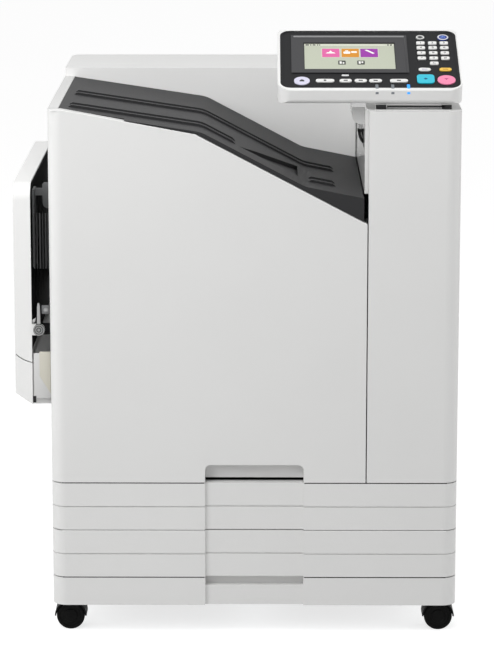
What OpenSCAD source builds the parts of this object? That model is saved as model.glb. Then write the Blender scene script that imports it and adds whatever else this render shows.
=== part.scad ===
// Floor-standing colour inkjet printer: a cabinet on casters with two paper drawers, a folded side tray,
// a wide front door, a sloping output tray and a tilting operation panel.
// X runs to the right, Y to the back and Z up. The origin lies on the floor under the middle of the machine.

/* [Body] */
// Width of the main body
body_w = 713; // [700:1:730]
// Depth of the main body, from the door face to the rear cover
body_d = 690; // [675:1:710]
// Height of the left rim and the side covers above the floor
rim_z = 941; // [937:1:944]
// Rise of the rear ledge above the rim
ledge_rise = 15; // [13:1:20]
// Drop from the rim to the tower's top
tower_drop = 2; // [1:0.5:4]
// Width of the tower
tower_w = 159.5; // [152:0.5:166]
// Depth of the output deck in front of the rear ledge
deck_d = 471; // [460:1:480]
// Radius of the upright corners
corner_r = 25; // [22:1:27]
// Wall thickness of the moulded covers
cover_t = 3; // [2.5:0.5:3.5]
// Gap between neighbouring covers
seam = 2; // [1.5:0.5:2.5]
// Reach of the exhaust duct behind the rear cover
rear_reach = 15; // [10:1:20]

/* [Drawers] */
// Height of the skirt's lower edge above the floor
skirt_z = 58.4; // [58:0.2:62]
// Height of the skirt
skirt_h = 52.1; // [50:0.1:56]
// Height of one drawer front with its gap
tray_pitch = 86; // [82:1:88]
// Width of the recessed middle column
column_w = 173; // [160:1:190]
// Depth of the recessed middle column
column_d = 6; // [4:1:8]
// Distance of a paper bin's wall from the body's side
bin_in = 46.5; // [42:0.5:56]
// Space between a paper bin and the rear cover
bin_gap = 134; // [110:1:160]
// Height of the finger recess in the door's lower edge
grip_h = 32; // [28:1:38]

/* [Output deck] */
// Width of the left rim beside the deck
rim_w = 18.5; // [15:0.5:22]
// Share of the deck's width that slopes gently
gentle_share = 0.4668; // [0.44:0.005:0.49]
// Drop of the gentle stretch
gentle_drop = 37; // [30:1:42]
// Share of the deck's width that slopes steeply
steep_share = 0.3416; // [0.31:0.005:0.37]
// Drop of the steep stretch
steep_drop = 95; // [85:1:100]
// Drop of the last stretch towards the tower
toe_drop = 20; // [14:1:26]
// Height of a stacking rib
rib_h = 4; // [2:0.5:6]
// Depth of the hollow for the hand
hollow_d = 7; // [4:1:10]

/* [Side feeder] */
// Reach of the folded tray beyond the body
feeder_reach = 63; // [60:1:68]
// Distance of the feeder behind the door face
feeder_y = 36; // [35:1:40]
// Distance of the feeder in front of the rear cover
feeder_rear = 130; // [110:1:150]
// Height of the feeder's lower edge
feeder_z = 411; // [405:1:420]
// Height of the seam under the folding tray
flap_z = 506; // [500:1:512]
// Drop from the rim to the folding tray's top
flap_drop = 133; // [125:1:140]
// Thickness of the folding tray
flap_t = 30; // [26:1:32]
// Depth of the feeder's recess in the body
recess_d = 52; // [50:1:56]

/* [Operation panel] */
// Width of the panel housing
panel_w = 317; // [305:1:320]
// Length of the panel housing, up the slope
panel_l = 212; // [200:1:220]
// Thickness of the panel housing
panel_t = 32; // [30:1:35]
// Tilt of the panel at rest
panel_tilt = 22.5; // [10:0.5:40]
// Width of the touch screen
screen_w = 160; // [150:1:170]
// Height of the touch screen
screen_h = 92; // [88:1:96]
// Height of the hinge axis above the tower's top
hinge_lift = 9; // [9:0.5:11]

/* [Ink and print unit] */
// Diameter of an ink cartridge
ink_dia = 86; // [76:1:90]
// Space between an ink cartridge and the rear cover
ink_gap = 302; // [280:1:330]
// Diameter of the belt's drive roller
roller_dia = 50; // [40:1:56]
// Width of the print bay that the belt leaves free
belt_room = 161.5; // [150:0.5:180]
// Width of the transfer belt, front to back
belt_w = 330; // [300:1:340]
// Thickness of the transfer belt
belt_t = 1.5; // [1:0.25:2]

/* [Casters] */
// Diameter of a caster wheel
wheel_dia = 50; // [46:1:51]
// Width of each of the two wheels
wheel_w = 14; // [12:1:16]
// Trail of the axle beside the swivel axis
caster_trail = 16; // [14:1:18]
// Distance of a swivel axis from the body's side
caster_in = 44.5; // [44:0.5:50]
// Distance of a swivel axis from the body's front or rear
caster_y = 60; // [55:1:70]

/* [Hidden] */
$fn = 48;

// Overrun of a cut beyond the face it leaves
over = 1;
// Clearance between a moving piece and a fixed one
play = 0.5;
// Radial clearance of a running fit
run_fit = 0.05;
// Gap between covers that lie against each other
lay_fit = 0.2;
// Thickness of sheet metal
sheet_t = 2;

// Sides and levels of the body
side_x = body_w / 2;
tower_x = side_x - tower_w;
tower_z = rim_z - tower_drop;
ledge_z = rim_z + ledge_rise;
skirt_top = skirt_z + skirt_h;
door_z = skirt_top + 2 * tray_pitch;
wrap_gap = 1;
wrap_y = corner_r + wrap_gap;
tower_d = 150;

// Base and skirt
base_z = skirt_z + cover_t;
base_h = 34;
base_top = base_z + base_h;
base_beam = 62;
stem_room = 8;
skirt_pocket_d = 24;
skirt_pocket_h = 15;
skirt_lip = 14;
groove_d = 2.2;

// Metal frame
frame_gap = 8;
frame_rear_gap = 12;
frame_x = side_x - cover_t - frame_gap;
frame_y0 = wrap_y + frame_gap;
frame_y1 = body_d - cover_t - frame_rear_gap;
frame_top = rim_z - cover_t - frame_rear_gap;
shelf_z = door_z + seam;
post_w = 24;
post_gap = 20;
rail_in = 18;
rail_z = 37;
rail_h = 20;
wall_gap = 5;

// Output deck: its line from the left rim to the tower, with soft bends
deck_sink = 1;
deck_x0 = rim_w - side_x;
deck_z0 = rim_z - deck_sink;
deck_t = 3;
deck_wall_drop = 20;
deck_bend_r = 60;
exit_x = tower_x - cover_t - wall_gap;
deck_w = exit_x - deck_x0;
exit_gap = 1.5;
bend_1 = [deck_x0 + gentle_share * deck_w, deck_z0 - gentle_drop];
bend_2 = bend_1 + [steep_share * deck_w, -steep_drop];
deck_foot = [exit_x, bend_2.y - toe_drop];
deck_wall_y = 3;
rib_w = 10;
rib_pitch = 34;
rib_rear_y = 235;
rib_front_y = 70;
rib_in = 12;
rib_foot = 45;
bay_wall_x = tower_x - frame_gap;
front_rib_share = 0.34;
front_rib_foot_share = 1.02;
// Corners of the hand hollow, as shares of the steep stretch and distances behind the door face
hollow_middle_share = 0.75;
hollow_shares = [0.36, 0.93, 0.93, 0.55];
hollow_ys = [66, 84, 190, 112];

// Paper exit beside the deck
exit_slot_drop = 77;
exit_slot_h = 16;
exit_axle_r = 4;
exit_axle_in = 10;
exit_axle_drop = 80;
exit_ear_y = 40;
exit_ear_w = 22;
exit_roller_r = 8.5;
exit_roller_w = 25;
exit_roller_pitch = 85;
exit_slot_y = 60;
exit_slot_rear = 50;
exit_foot = 4;
fairing_in = 22;
fairing_h = 30;
fairing_r = 16;
fairing_y = 58;
fairing_l = 92;

// Front door: its hinge and the line of its upper edge
door_d = corner_r;
hinge_inset = 4;
hinge_in = corner_r - (corner_r - cover_t - hinge_inset) * sin(45);
door_hinge = [hinge_in - side_x, hinge_in];
door_pin_r = 3;
door_swing = norm([hinge_in, door_d - hinge_in]);
knuckle_h = 40;
knuckle_t = 2.5;
hinge_low = 40;
hinge_high = 90;
door_hinge_z = [door_z + hinge_low, rim_z - hinge_high];
hinge_arm_t = 4;
hinge_arm_w = 7;
door_x1 = tower_x - seam;
door_bend_in = 10;
door_bend_drop = 4.5;
door_bend = bend_1 - [door_bend_in, door_bend_drop];
door_left_gap = 4;
door_left = deck_x0 + door_left_gap;
door_slope = steep_drop / (steep_share * deck_w);
door_end = [door_x1, door_bend.y - (door_x1 - door_bend.x) * door_slope];
grip_r = 10;
grip_slit = 4;

// Side feeder: the folding tray's pivot and swing
feeder_x = -side_x - feeder_reach;
feeder_y1 = body_d - feeder_rear;
feeder_mid = (feeder_y + feeder_y1) / 2;
flap_top = rim_z - flap_drop;
flap_corner = 28;
flap_foot_r = 4;
flap_inner = feeder_x + flap_t;
bed_t = 3;
pivot_out = 20.5;
pivot_in = feeder_reach - pivot_out;
pivot = [feeder_x + pivot_in, flap_z + pivot_in + play];
pivot_r = 5;
lug_r = 10;
lug_t = 5.5;
swing_r = norm([pivot_in, pivot.y - flap_z]) + over;
recess_x = recess_d - side_x;
recess_gap = 1;
feeder_bevel_w = 30;
feeder_bevel_h = 21;
feeder_arm_t = 5;
feeder_head_t = 3;
feeder_rib_d = 8;
feeder_rib_pitch = 45;
feeder_rib_in = 60;
end_step = 8;
lever_w = 5;
lever_l = 48;
pickup_in = 16;
pickup_drop = 108;
pickup_z = flap_top - pickup_drop;
pickup_x = recess_x - cover_t - pickup_in;
pickup_r = 14;
pickup_w = 40;
pickup_gap = 10;
pickup_axle_r = 4;
pickup_ear_t = 4;
guide_t = 3;
guide_in = 60;
guide_h = 46;
guide_drop = 8;
guide_r = 10;
guide_tip = 17;
guide_foot = 18;
guide_plate_l = 138;

// Operation panel: hinge line, faces and fascia
hinge_y = 25;
hinge_z = tower_z + hinge_lift;
hinge_pin_r = 4;
knuckle_r = 7;
panel_drop = 4;
panel_front = -11.4;
panel_x1 = side_x;
panel_x0 = panel_x1 - panel_w;
panel_top = panel_drop + panel_t;
panel_rim = 7;
panel_rim_extra = 2;
panel_edge_r = 12;
panel_corner_r = 22;
panel_rear_r = 14;
panel_lug_w = 18;
panel_lug_in = 27;
panel_lug_left = 168;
panel_lugs = [[panel_x0 + panel_lug_left, panel_x0 + panel_lug_left + panel_lug_w],
    [panel_x1 - panel_lug_in - panel_lug_w / 2, panel_x1 - panel_lug_w]];
bracket_foot = 12;
bracket_neck = 6;
fascia_t = 2;
fascia_corner_r = 16;
fascia_rear_r = 11;
fascia_x0 = panel_x0 + panel_rim + panel_rim_extra;
fascia_w = panel_w - 2 * panel_rim - panel_rim_extra;
fascia_v0 = panel_front + panel_rim;
fascia_l = panel_l - 2 * panel_rim;
fascia_top = panel_top - play;
bezel_h = 1;
bezel_side = 22;
bezel_foot = 13;
bezel_head = 29;
bezel_r = 6;
tub_d = 6;
tub_edge = 4;
key_fit = 0.4;
key_rise = 1.5;
key_len = 4.5;

// Places on the fascia, as shares of its width and length
screen_share = [0.388, 0.549];
power_share = [0.939, 0.889];
wake_share = [0.806, 0.889];
reset_share = [0.815, 0.313];
interrupt_share = [0.935, 0.313];
start_share = [0.816, 0.146];
stop_share = [0.934, 0.129];
home_share = [0.109, 0.111];
menu_shares = [0.241, 0.3585, 0.4445, 0.529, 0.6626];
menu_row_share = 0.116;
menu_widths = [32, 21, 21, 22, 31];
number_column_shares = [0.805, 0.874, 0.941];
number_row_shares = [0.788, 0.702, 0.609, 0.515];
clear_row_share = 0.424;
number_key = [14.7, 10];
number_key_r = 3;
menu_key_h = 10;
pill_key = [21, 10];
power_dia = 20;
wake_dia = 15;
start_side = 30;
start_r = 7;
stop_dia = 31;
home_dia = 27;

// Print unit between the feeder's recess and the tower
belt_y = 70;
belt_level_share = 0.50745;
belt_z = shelf_z + belt_level_share * (deck_foot.y - shelf_z);
belt_span = tower_x - recess_x - belt_room;
roller_in = 67;
roller_x = tower_x - roller_in;
nose_x = roller_x - belt_span;
roller_r = roller_dia / 2;
belt_top = belt_z + roller_r + belt_t;
axle_r = 6;
axle_l = 8;
belt_plate_t = 4;
belt_plate_gap = 4;
belt_hang = 14;
bar_z = belt_z - roller_r - belt_hang;
bar_h = 12;
belt_bar_w = 20;
belt_bar_y = [belt_y - axle_l, belt_y + belt_w + axle_l - belt_bar_w];
exit_room_low = 8;
exit_room_high = 24;
lever_in = 150;
lever_x = nose_x + lever_in;
lever_pin_r = 5;
lever_t = 10;
lever_drop = 70;
lever_hub_r = 12;
lever_grip_r = 9;
lever_grip_l = 8;
head_gap = 2;
head_h = 34;
head_body_h = 62;
head_in = 10;
head_in_right = 20;
hanger_w = 20;
head_count = 4;
head_start_share = 0.2;
head_end_share = 0.8;

// Ink bay on the shelf
ink_y = 58;
ink_l = body_d - ink_y - ink_gap;
ink_fit = 0.5;
ink_foot = 16;
ink_z = shelf_z + sheet_t + ink_dia / 2 + ink_foot;
ink_tube_t = 3;
ink_edge = 8;
ink_plate_t = 4;
ink_r = ink_dia / 2 + ink_fit;
ink_x0 = recess_x + sheet_t + play + ink_edge + ink_r;
ink_bay_end = 58;
ink_pitch = (bay_wall_x - sheet_t - ink_bay_end - ink_r - ink_x0) / 3;
ink_rear = 10;

// Power inlet and switch on the rear cover
duct_w_share = 0.589;
duct_foot_share = 0.0912;
duct_h_share = 0.5467;
louvre_step_share = 0.3125;
louvre_half_share = 0.1429;
inlet_in = 106.5;
inlet_rise = 54.5;
inlet = [side_x - inlet_in, skirt_top + inlet_rise];
inlet_w = 50;
inlet_h = 28;
inlet_depth = 26;
switch_w = 20;
switch_h = 28;
switch_gap = 14;
switch_wall = 2;
switch_pin_r = 2;
switch_pin_in = 8;

// Casters
wheel_r = wheel_dia / 2;
caster_gap = 9;
stem_r = 6;
stem_l = 22;
caster_axle_r = 3;
collar_r = 13;
hood_t = 2.4;
hood_fit = 1;

function unit(v) = v / norm(v);

// Arc of radius r that rounds the corner b between a and c
function bend(a, b, c, r, steps = 5) =
    let (u = unit(a - b), w = unit(c - b), half = acos(u * w) / 2)
    let (p = b + u * r / tan(half), q = b + w * r / tan(half), o = b + unit(u + w) * r / sin(half))
    let (a0 = atan2(p.y - o.y, p.x - o.x), a1 = atan2(q.y - o.y, q.x - o.x))
    let (turn = (a1 - a0 + 540) % 360 - 180)
    [for (i = [0 : steps]) o + r * [cos(a0 + turn * i / steps), sin(a0 + turn * i / steps)]];

deck_line = concat([[deck_x0, deck_z0]], bend([deck_x0, deck_z0], bend_1, bend_2, deck_bend_r),
    bend(bend_1, bend_2, deck_foot, deck_bend_r), [deck_foot]);

// Height of the deck's surface at x
function deck_z(x) = lookup(x, deck_line);

// Stretch of the deck's line from xa to xb
function deck_stretch(xa, xb) = concat([[xa, deck_z(xa)]],
    [for (p = deck_line) if (p.x > xa && p.x < xb) p], [[xb, deck_z(xb)]]);

function shifted(points, dx, dz) = [for (p = points) p + [dx, dz]];
function backwards(points) = [for (i = [len(points) - 1 : -1 : 0]) points[i]];
function tray_z(i) = skirt_top + i * tray_pitch;
function ink_x(i) = ink_x0 + i * ink_pitch;
function fascia_point(share) = [fascia_x0 + share.x * fascia_w, fascia_v0 + share.y * fascia_l];

// Puts the machine's front left frame on the part's origin
module placed() translate([feeder_reach / 2, -(body_d + rear_reach) / 2, 0]) children();

module block(low, high) translate(low) cube(high - low);

module rise(z0, z1) translate([0, 0, z0]) linear_extrude(z1 - z0) children();

module along_y(y0, y1) translate([0, y1, 0]) rotate([90, 0, 0]) linear_extrude(y1 - y0) children();

module along_x(x0, x1) translate([x0, 0, 0]) rotate([90, 0, 90]) linear_extrude(x1 - x0) children();

module rod_y(x, z, y0, y1, r) translate([x, y0, z]) rotate([-90, 0, 0]) cylinder(h = y1 - y0, r = r);

module rod_x(y, z, x0, x1, r) translate([x0, y, z]) rotate([0, 90, 0]) cylinder(h = x1 - x0, r = r);

// The children and their mirror image beside the body's middle
module both_sides() {
    children();
    mirror([1, 0, 0]) children();
}

// Rectangle from low to high with a radius at each corner: lower left, lower right, upper right, upper left
module soft_rect(low, high, radii) {
    mid = (low + high) / 2;
    corners = [low, [high.x, low.y], high, [low.x, high.y]];
    difference() {
        translate(low) square(high - low);
        for (i = [0 : 3]) if (radii[i] > 0) soft_corner(corners[i], mid, radii[i]);
    }
}

// What rounding takes away at a corner of a rectangle around mid
module soft_corner(corner, mid, r) {
    side = [sign(mid.x - corner.x), sign(mid.y - corner.y)];
    centre = corner + side * r;
    difference() {
        translate([min(corner.x - side.x * over, centre.x), min(corner.y - side.y * over, centre.y)])
            square([r + over, r + over]);
        translate(centre) circle(r);
    }
}

function all_round(r) = [r, r, r, r];

// Plan of the body, drawn in by inset
module plan(inset = 0) {
    translate([0, body_d / 2]) {
        square([body_w - 2 * corner_r, body_d - 2 * inset], center = true);
        square([body_w - 2 * inset, body_d - 2 * corner_r], center = true);
        for (x = [-1, 1], y = [-1, 1])
            translate([x * (side_x - corner_r), y * (body_d / 2 - corner_r)]) circle(corner_r - inset);
    }
}

module wall_ring(z0, z1, t = cover_t) rise(z0, z1) difference() {
    plan();
    plan(t);
}

// Places children at the four swivel axes
module at_swivels() for (x = [-1, 1], y = [caster_y, body_d - caster_y])
    translate([x * (side_x - caster_in), y, 0]) children();

// Base and skirt

module base_frame() placed() color("silver") {
    edge = cover_t + play;
    inner_d = body_d - 2 * base_beam;
    window_w = body_w / 2 - 1.5 * base_beam;
    difference() {
        rise(base_z, base_top) plan(edge);
        rise(base_z + sheet_t, base_top + over) difference() {
            plan(edge + sheet_t);
            translate([0, body_d / 2]) difference() {
                square([body_w - 2 * base_beam, inner_d], center = true);
                square([body_w - 2 * base_beam - 2 * sheet_t, inner_d - 2 * sheet_t], center = true);
            }
            at_swivels() circle(stem_r + stem_room);
        }
        rise(base_z - over, base_top + over) translate([0, body_d / 2]) for (x = [-1, 1])
            translate([x * (body_w / 4 - base_beam / 4), 0])
                square([window_w, inner_d - 4 * sheet_t], center = true);
        at_swivels() rise(base_z - over, base_top + over) circle(stem_r + run_fit);
        block([-column_w / 2 - edge, -over, base_z - over],
            [column_w / 2 + edge, skirt_pocket_d + play, base_top + over]);
    }
}

module base_skirt() placed() color("gainsboro") {
    top = skirt_top - seam;
    pocket_z = top - skirt_pocket_h;
    half = column_w / 2;
    outer = half + cover_t;
    difference() {
        union() {
            wall_ring(skirt_z, top);
            wall_ring(skirt_z, base_z, skirt_lip);
            block([-outer, over, skirt_z], [outer, column_d + cover_t, top]);
        }
        block([-half, -over, skirt_z - over], [half, column_d, top + over]);
        block([-half, -over, pocket_z], [half, column_d + cover_t + over, top + over]);
    }
    // Walls of the finger recess
    difference() {
        block([-outer, column_d, pocket_z - cover_t + play], [outer, skirt_pocket_d, top]);
        block([-half, column_d - over, pocket_z], [half, skirt_pocket_d - cover_t, top + over]);
        block([-outer - over, -over, pocket_z - cover_t], [outer + over, column_d + cover_t, top + over]);
    }
}

// Metal frame that carries covers, drawers and the print unit

module chassis_frame() placed() color("silver") {
    low_x = side_x - bin_in + post_gap;
    foot_x = side_x - cover_t - play;
    bay_wall_top = deck_foot.y - deck_wall_drop - wall_gap;
    recess_wall_top = deck_z(recess_x) - deck_wall_drop - wall_gap;
    inlet_low = [inlet.x - inlet_w / 2 - switch_gap - switch_w - play, inlet.y - inlet_h / 2 - play];
    inlet_high = [inlet.x + inlet_w / 2 + play, inlet.y + inlet_h / 2 + play];
    // Side plates of the drawer bay, with their runners
    both_sides() {
        block([low_x, frame_y0, base_top], [low_x + sheet_t, frame_y1, shelf_z]);
        block([low_x, frame_y0, base_top], [foot_x, frame_y1 - corner_r, base_top + sheet_t]);
        for (i = [0, 1])
            block([low_x - rail_in, frame_y0, tray_z(i) + rail_z],
                [low_x, body_d - bin_gap, tray_z(i) + rail_z + sheet_t]);
    }
    // Shelf above the drawers
    block([-frame_x, frame_y0, shelf_z], [frame_x, frame_y1, shelf_z + sheet_t]);
    // Rear wall
    difference() {
        block([-frame_x, frame_y1 - sheet_t, base_top], [frame_x, frame_y1, frame_top]);
        block([inlet_low.x, frame_y1 - sheet_t - over, inlet_low.y],
            [inlet_high.x, frame_y1 + over, inlet_high.y]);
    }
    // Corner posts; the front left one ends under the side feeder
    for (side = [-1, 1]) {
        post_top = side < 0 ? feeder_z - post_gap : frame_top;
        x0 = min(side * frame_x, side * (frame_x - post_w));
        out = min(side * frame_x, side * (frame_x - sheet_t));
        block([x0, frame_y0, shelf_z], [x0 + post_w, frame_y0 + sheet_t, feeder_z - post_gap]);
        block([out, frame_y0, shelf_z], [out + sheet_t, frame_y0 + post_w, post_top]);
        block([out, frame_y1 - post_w, shelf_z], [out + sheet_t, frame_y1, frame_top]);
    }
    // Plate behind the side feeder, and the wall between the print unit and the tower
    block([recess_x, frame_y0, shelf_z], [recess_x + sheet_t, frame_y1, recess_wall_top]);
    difference() {
        block([bay_wall_x - sheet_t, frame_y0, shelf_z], [bay_wall_x, frame_y1, bay_wall_top]);
        block([bay_wall_x - sheet_t - over, belt_y, belt_top - exit_room_low],
            [bay_wall_x + over, belt_y + belt_w, belt_top + exit_room_high]);
    }
    for (z = door_hinge_z) hinge_arm(z);
    // Bars that carry the belt unit
    for (y = belt_bar_y)
        block([recess_x + sheet_t, y, bar_z - bar_h], [bay_wall_x - sheet_t, y + belt_bar_w, bar_z]);
    // Rail under the rear ledge
    block([-frame_x, deck_d + frame_gap, frame_top - rail_h],
        [frame_x, deck_d + frame_gap + rail_h, frame_top]);
}

// Arm and pin of the door hinge, under the knuckle that starts at z
module hinge_arm(z) {
    top = z - play;
    x1 = door_hinge.x + door_swing + hinge_arm_w + seam;
    block([door_hinge.x, door_hinge.y - hinge_arm_t, top - hinge_arm_t],
        [x1, door_hinge.y + hinge_arm_t, top]);
    block([x1 - hinge_arm_w, door_hinge.y - hinge_arm_t, top - hinge_arm_t], [x1, frame_y0 + sheet_t, top]);
    block([x1 - hinge_arm_w, frame_y0, z - rail_h], [recess_x + sheet_t, frame_y0 + sheet_t, z]);
    translate(door_hinge) rise(top - hinge_arm_t, z + knuckle_h) circle(door_pin_r);
}

// Covers of the cabinet

module left_cover() placed() color("whitesmoke") {
    y0 = wrap_y + seam;
    deck_side = deck_x0 - lay_fit;
    rim_y = door_hinge.y + door_swing + play;
    rim_wall_h = deck_wall_drop + door_left_gap;
    window = recess_gap + cover_t + lay_fit;
    difference() {
        union() {
            intersection() {
                wall_ring(skirt_top, rim_z);
                block([-side_x - over, y0, skirt_top], [corner_r - side_x, body_d + over, rim_z]);
            }
            block([over - side_x, rim_y, rim_z - cover_t], [deck_side, deck_d - lay_fit, rim_z]);
            block([deck_side - cover_t, rim_y, rim_z - rim_wall_h], [deck_side, deck_d - lay_fit, rim_z]);
        }
        block([-side_x - over, feeder_y - window, feeder_z - lay_fit],
            [cover_t - side_x + over, feeder_y1 + window, flap_top + window]);
    }
}

module right_cover() placed() color("gainsboro") {
    y0 = wrap_y + seam;
    slot_l = 60;
    slot_h = 4;
    slot_step = 90;
    slot_pitch = 12;
    slot_in = 240;
    slot_rise = 60;
    difference() {
        union() {
            intersection() {
                wall_ring(skirt_top, tower_z);
                union() {
                    block([side_x - corner_r, y0, skirt_top], [side_x + over, body_d + over, door_z]);
                    block([side_x - corner_r, tower_d + seam, skirt_top],
                        [side_x + over, body_d + over, tower_z]);
                }
            }
            block([exit_x + exit_gap + cover_t, tower_d + seam, tower_z - cover_t],
                [side_x - over, deck_d - play, tower_z]);
        }
        for (i = [0 : 9], j = [0, 1])
            translate([0, body_d - slot_in + j * slot_step, skirt_top + slot_rise + i * slot_pitch])
                block([side_x - cover_t - over, 0, 0], [side_x + over, slot_l, slot_h]);
    }
}

module rear_cover() placed() color("gainsboro") {
    half = side_x - corner_r - play;
    duct_w = duct_w_share * body_w;
    duct_z = door_z + duct_foot_share * (rim_z - door_z);
    duct_h = duct_h_share * (rim_z - door_z);
    duct_r = 12;
    slot_in = 24;
    slot_h = 5;
    slot_pitch = 15;
    count = floor((duct_h - 2 * slot_in) / slot_pitch);
    plug_low = [inlet.x - inlet_w / 2, inlet.y - inlet_h / 2];
    switch_x = plug_low.x - switch_gap;
    difference() {
        union() {
            block([-half, body_d - cover_t, skirt_top], [half, body_d, rim_z]);
            along_y(body_d - over, body_d + rear_reach)
                soft_rect([-duct_w / 2, duct_z], [duct_w / 2, duct_z + duct_h], all_round(duct_r));
        }
        along_y(body_d - cover_t - over, body_d + rear_reach - cover_t)
            soft_rect([cover_t - duct_w / 2, duct_z + cover_t],
                [duct_w / 2 - cover_t, duct_z + duct_h - cover_t],
                all_round(duct_r - cover_t));
        for (i = [0 : count], x = [-1, 0, 1])
            translate([x * duct_w * louvre_step_share, body_d, duct_z + slot_in + i * slot_pitch])
                block([-duct_w * louvre_half_share, 0, 0],
                    [duct_w * louvre_half_share, rear_reach + over, slot_h]);
        block([plug_low.x, body_d - cover_t - over, plug_low.y],
            [plug_low.x + inlet_w, body_d + over, plug_low.y + inlet_h]);
        block([switch_x - switch_w, body_d - cover_t - over, inlet.y - switch_h / 2],
            [switch_x, body_d + over, inlet.y + switch_h / 2]);
    }
}

module top_cover() placed() color("lightgray") {
    groove_in = 64;
    groove = 1.5;
    difference() {
        intersection() {
            rise(rim_z, ledge_z) plan();
            block([-side_x - over, deck_d, rim_z], [side_x + over, body_d + over, ledge_z]);
        }
        intersection() {
            rise(rim_z - over, ledge_z - cover_t) plan(cover_t);
            block([-side_x, deck_d + cover_t, rim_z - over], [side_x, body_d, ledge_z]);
        }
        block([-side_x - over, deck_d + groove_in, ledge_z - groove],
            [side_x + over, deck_d + groove_in + groove, ledge_z + over]);
    }
    // Wall behind the output deck
    along_y(deck_d, deck_d + cover_t) polygon(concat(
        shifted(deck_line, 0, -deck_wall_drop), [[exit_x, rim_z], [deck_x0, rim_z]]));
}

// Outline of the door seen from the front, drawn in by inset and raised by lift at its upper edge
module door_outline(inset = 0, lift = 0) {
    slope_inset = 1.3 * inset;
    polygon([[inset - side_x, door_z + inset], [door_x1 - inset, door_z + inset],
        door_end + [-inset, lift - slope_inset], door_bend + [0, lift - inset],
        [door_left, rim_z + lift - inset], [inset - side_x, rim_z + lift - inset]]);
}

module front_cover() placed() color("whitesmoke") {
    knuckle_w = door_pin_r + knuckle_t;
    difference() {
        intersection() {
            along_y(0, door_d) door_outline();
            rise(door_z, rim_z) plan();
        }
        intersection() {
            along_y(cover_t, door_d + over) door_outline(cover_t);
            rise(door_z, rim_z) plan(cover_t);
        }
        along_y(-over, door_d + over) grip_outline();
    }
    // Walls of the finger recess
    difference() {
        along_y(over, door_d) grip_outline(cover_t);
        along_y(-over, door_d - cover_t) grip_outline();
        block([-column_w / 2, -over, door_z - over], [column_w / 2, door_d + over, door_z + grip_slit]);
    }
    // Knuckles that turn on the hinge pins
    for (z = door_hinge_z) difference() {
        intersection() {
            rise(z, z + knuckle_h) plan(over);
            union() {
                translate(door_hinge) rise(z, z + knuckle_h) circle(knuckle_w);
                block([door_hinge.x - knuckle_w, over, z],
                    [door_hinge.x + knuckle_w, door_hinge.y, z + knuckle_h]);
            }
        }
        translate(door_hinge) rise(z - over, z + knuckle_h + over) circle(door_pin_r + run_fit);
    }
}

// Finger recess in the door's lower edge, grown by edge
module grip_outline(edge = 0) {
    soft_rect([-column_w / 2 - edge, door_z - (edge > 0 ? 0 : over)],
        [column_w / 2 + edge, door_z + grip_h + edge],
        [0, 0, grip_r + edge, grip_r + edge]);
}

module tower_cover() placed() color("gainsboro") {
    window_z = deck_foot.y - 3 * deck_wall_drop;
    shelf_top = shelf_z + sheet_t + play;
    difference() {
        intersection() {
            rise(door_z, tower_z) plan();
            block([tower_x, 0, door_z], [side_x + over, tower_d, tower_z]);
        }
        intersection() {
            rise(door_z - over, tower_z - cover_t) plan(cover_t);
            block([tower_x + cover_t, 0, door_z - over], [side_x, tower_d + over, tower_z]);
        }
        block([tower_x - over, wrap_y + hinge_arm_t, door_z - over],
            [tower_x + cover_t + over, tower_d + over, shelf_top]);
        block([tower_x - over, wrap_y, window_z],
            [tower_x + cover_t + over, tower_d + over, tower_z - cover_t]);
    }
    block([exit_x + exit_gap + cover_t, wrap_y + seam, tower_z - cover_t], [tower_x + over, tower_d, tower_z]);
}

// Output tray with its stacking ribs and the hollow for the hand that picks up the prints

module output_tray() placed() color("dimgray") {
    left = deck_x0 + rib_in;
    right = exit_x - rib_foot;
    difference() {
        union() {
            along_y(deck_wall_y, deck_d)
                polygon(concat(deck_line, shifted(backwards(deck_line), 0, -deck_t)));
            along_y(deck_wall_y, deck_wall_y + cover_t)
                polygon(concat(deck_line, [[exit_x, door_z], [deck_x0, door_z]]));
            for (y = [rib_rear_y, rib_rear_y + rib_pitch]) deck_rib(left, right, y);
            for (y = [rib_front_y, rib_front_y + rib_pitch]) {
                deck_rib(left, hand_point(front_rib_share).x, y);
                deck_rib(hand_point(front_rib_foot_share).x, right, y);
            }
            hand_hollow(deck_t, hollow_d + deck_t, 0);
        }
        hand_hollow(0, hollow_d, over);
        along_y(-over, door_d + seam) door_outline(0, seam);
        block([deck_x0 - over, -over, rim_z - cover_t - deck_wall_drop],
            [door_left + rib_in, door_hinge.y + door_swing + play, rim_z + over]);
    }
}

// Point of the steep stretch at a share of its way down
function hand_point(share) = bend_1 + share * (bend_2 - bend_1);

// Prism of the hollow from above the deck's surface down to depth, grown by edge
module hand_hollow(edge, depth, above) {
    slope = steep_drop / (steep_share * deck_w);
    middle = hand_point(hollow_middle_share);
    corners = [for (i = [0 : 3]) [hand_point(hollow_shares[i]).x, hollow_ys[i]]];
    centre = (corners[0] + corners[2]) / 2;
    multmatrix([[1, 0, 0, 0], [0, 1, 0, 0], [-slope, 0, 1, middle.y + slope * middle.x], [0, 0, 0, 1]])
        translate([0, 0, -depth]) linear_extrude(depth + above)
            polygon([for (c = corners) c + edge * unit(c - centre)]);
}

// Rib from xa to xb that starts at depth y
module deck_rib(xa, xb, y) along_y(y, y + rib_w) polygon(concat(
    shifted(deck_stretch(xa + 2 * rib_h, xb - 2 * rib_h), 0, rib_h),
    shifted(backwards(deck_stretch(xa, xb)), 0, -deck_t / 2)));

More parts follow.
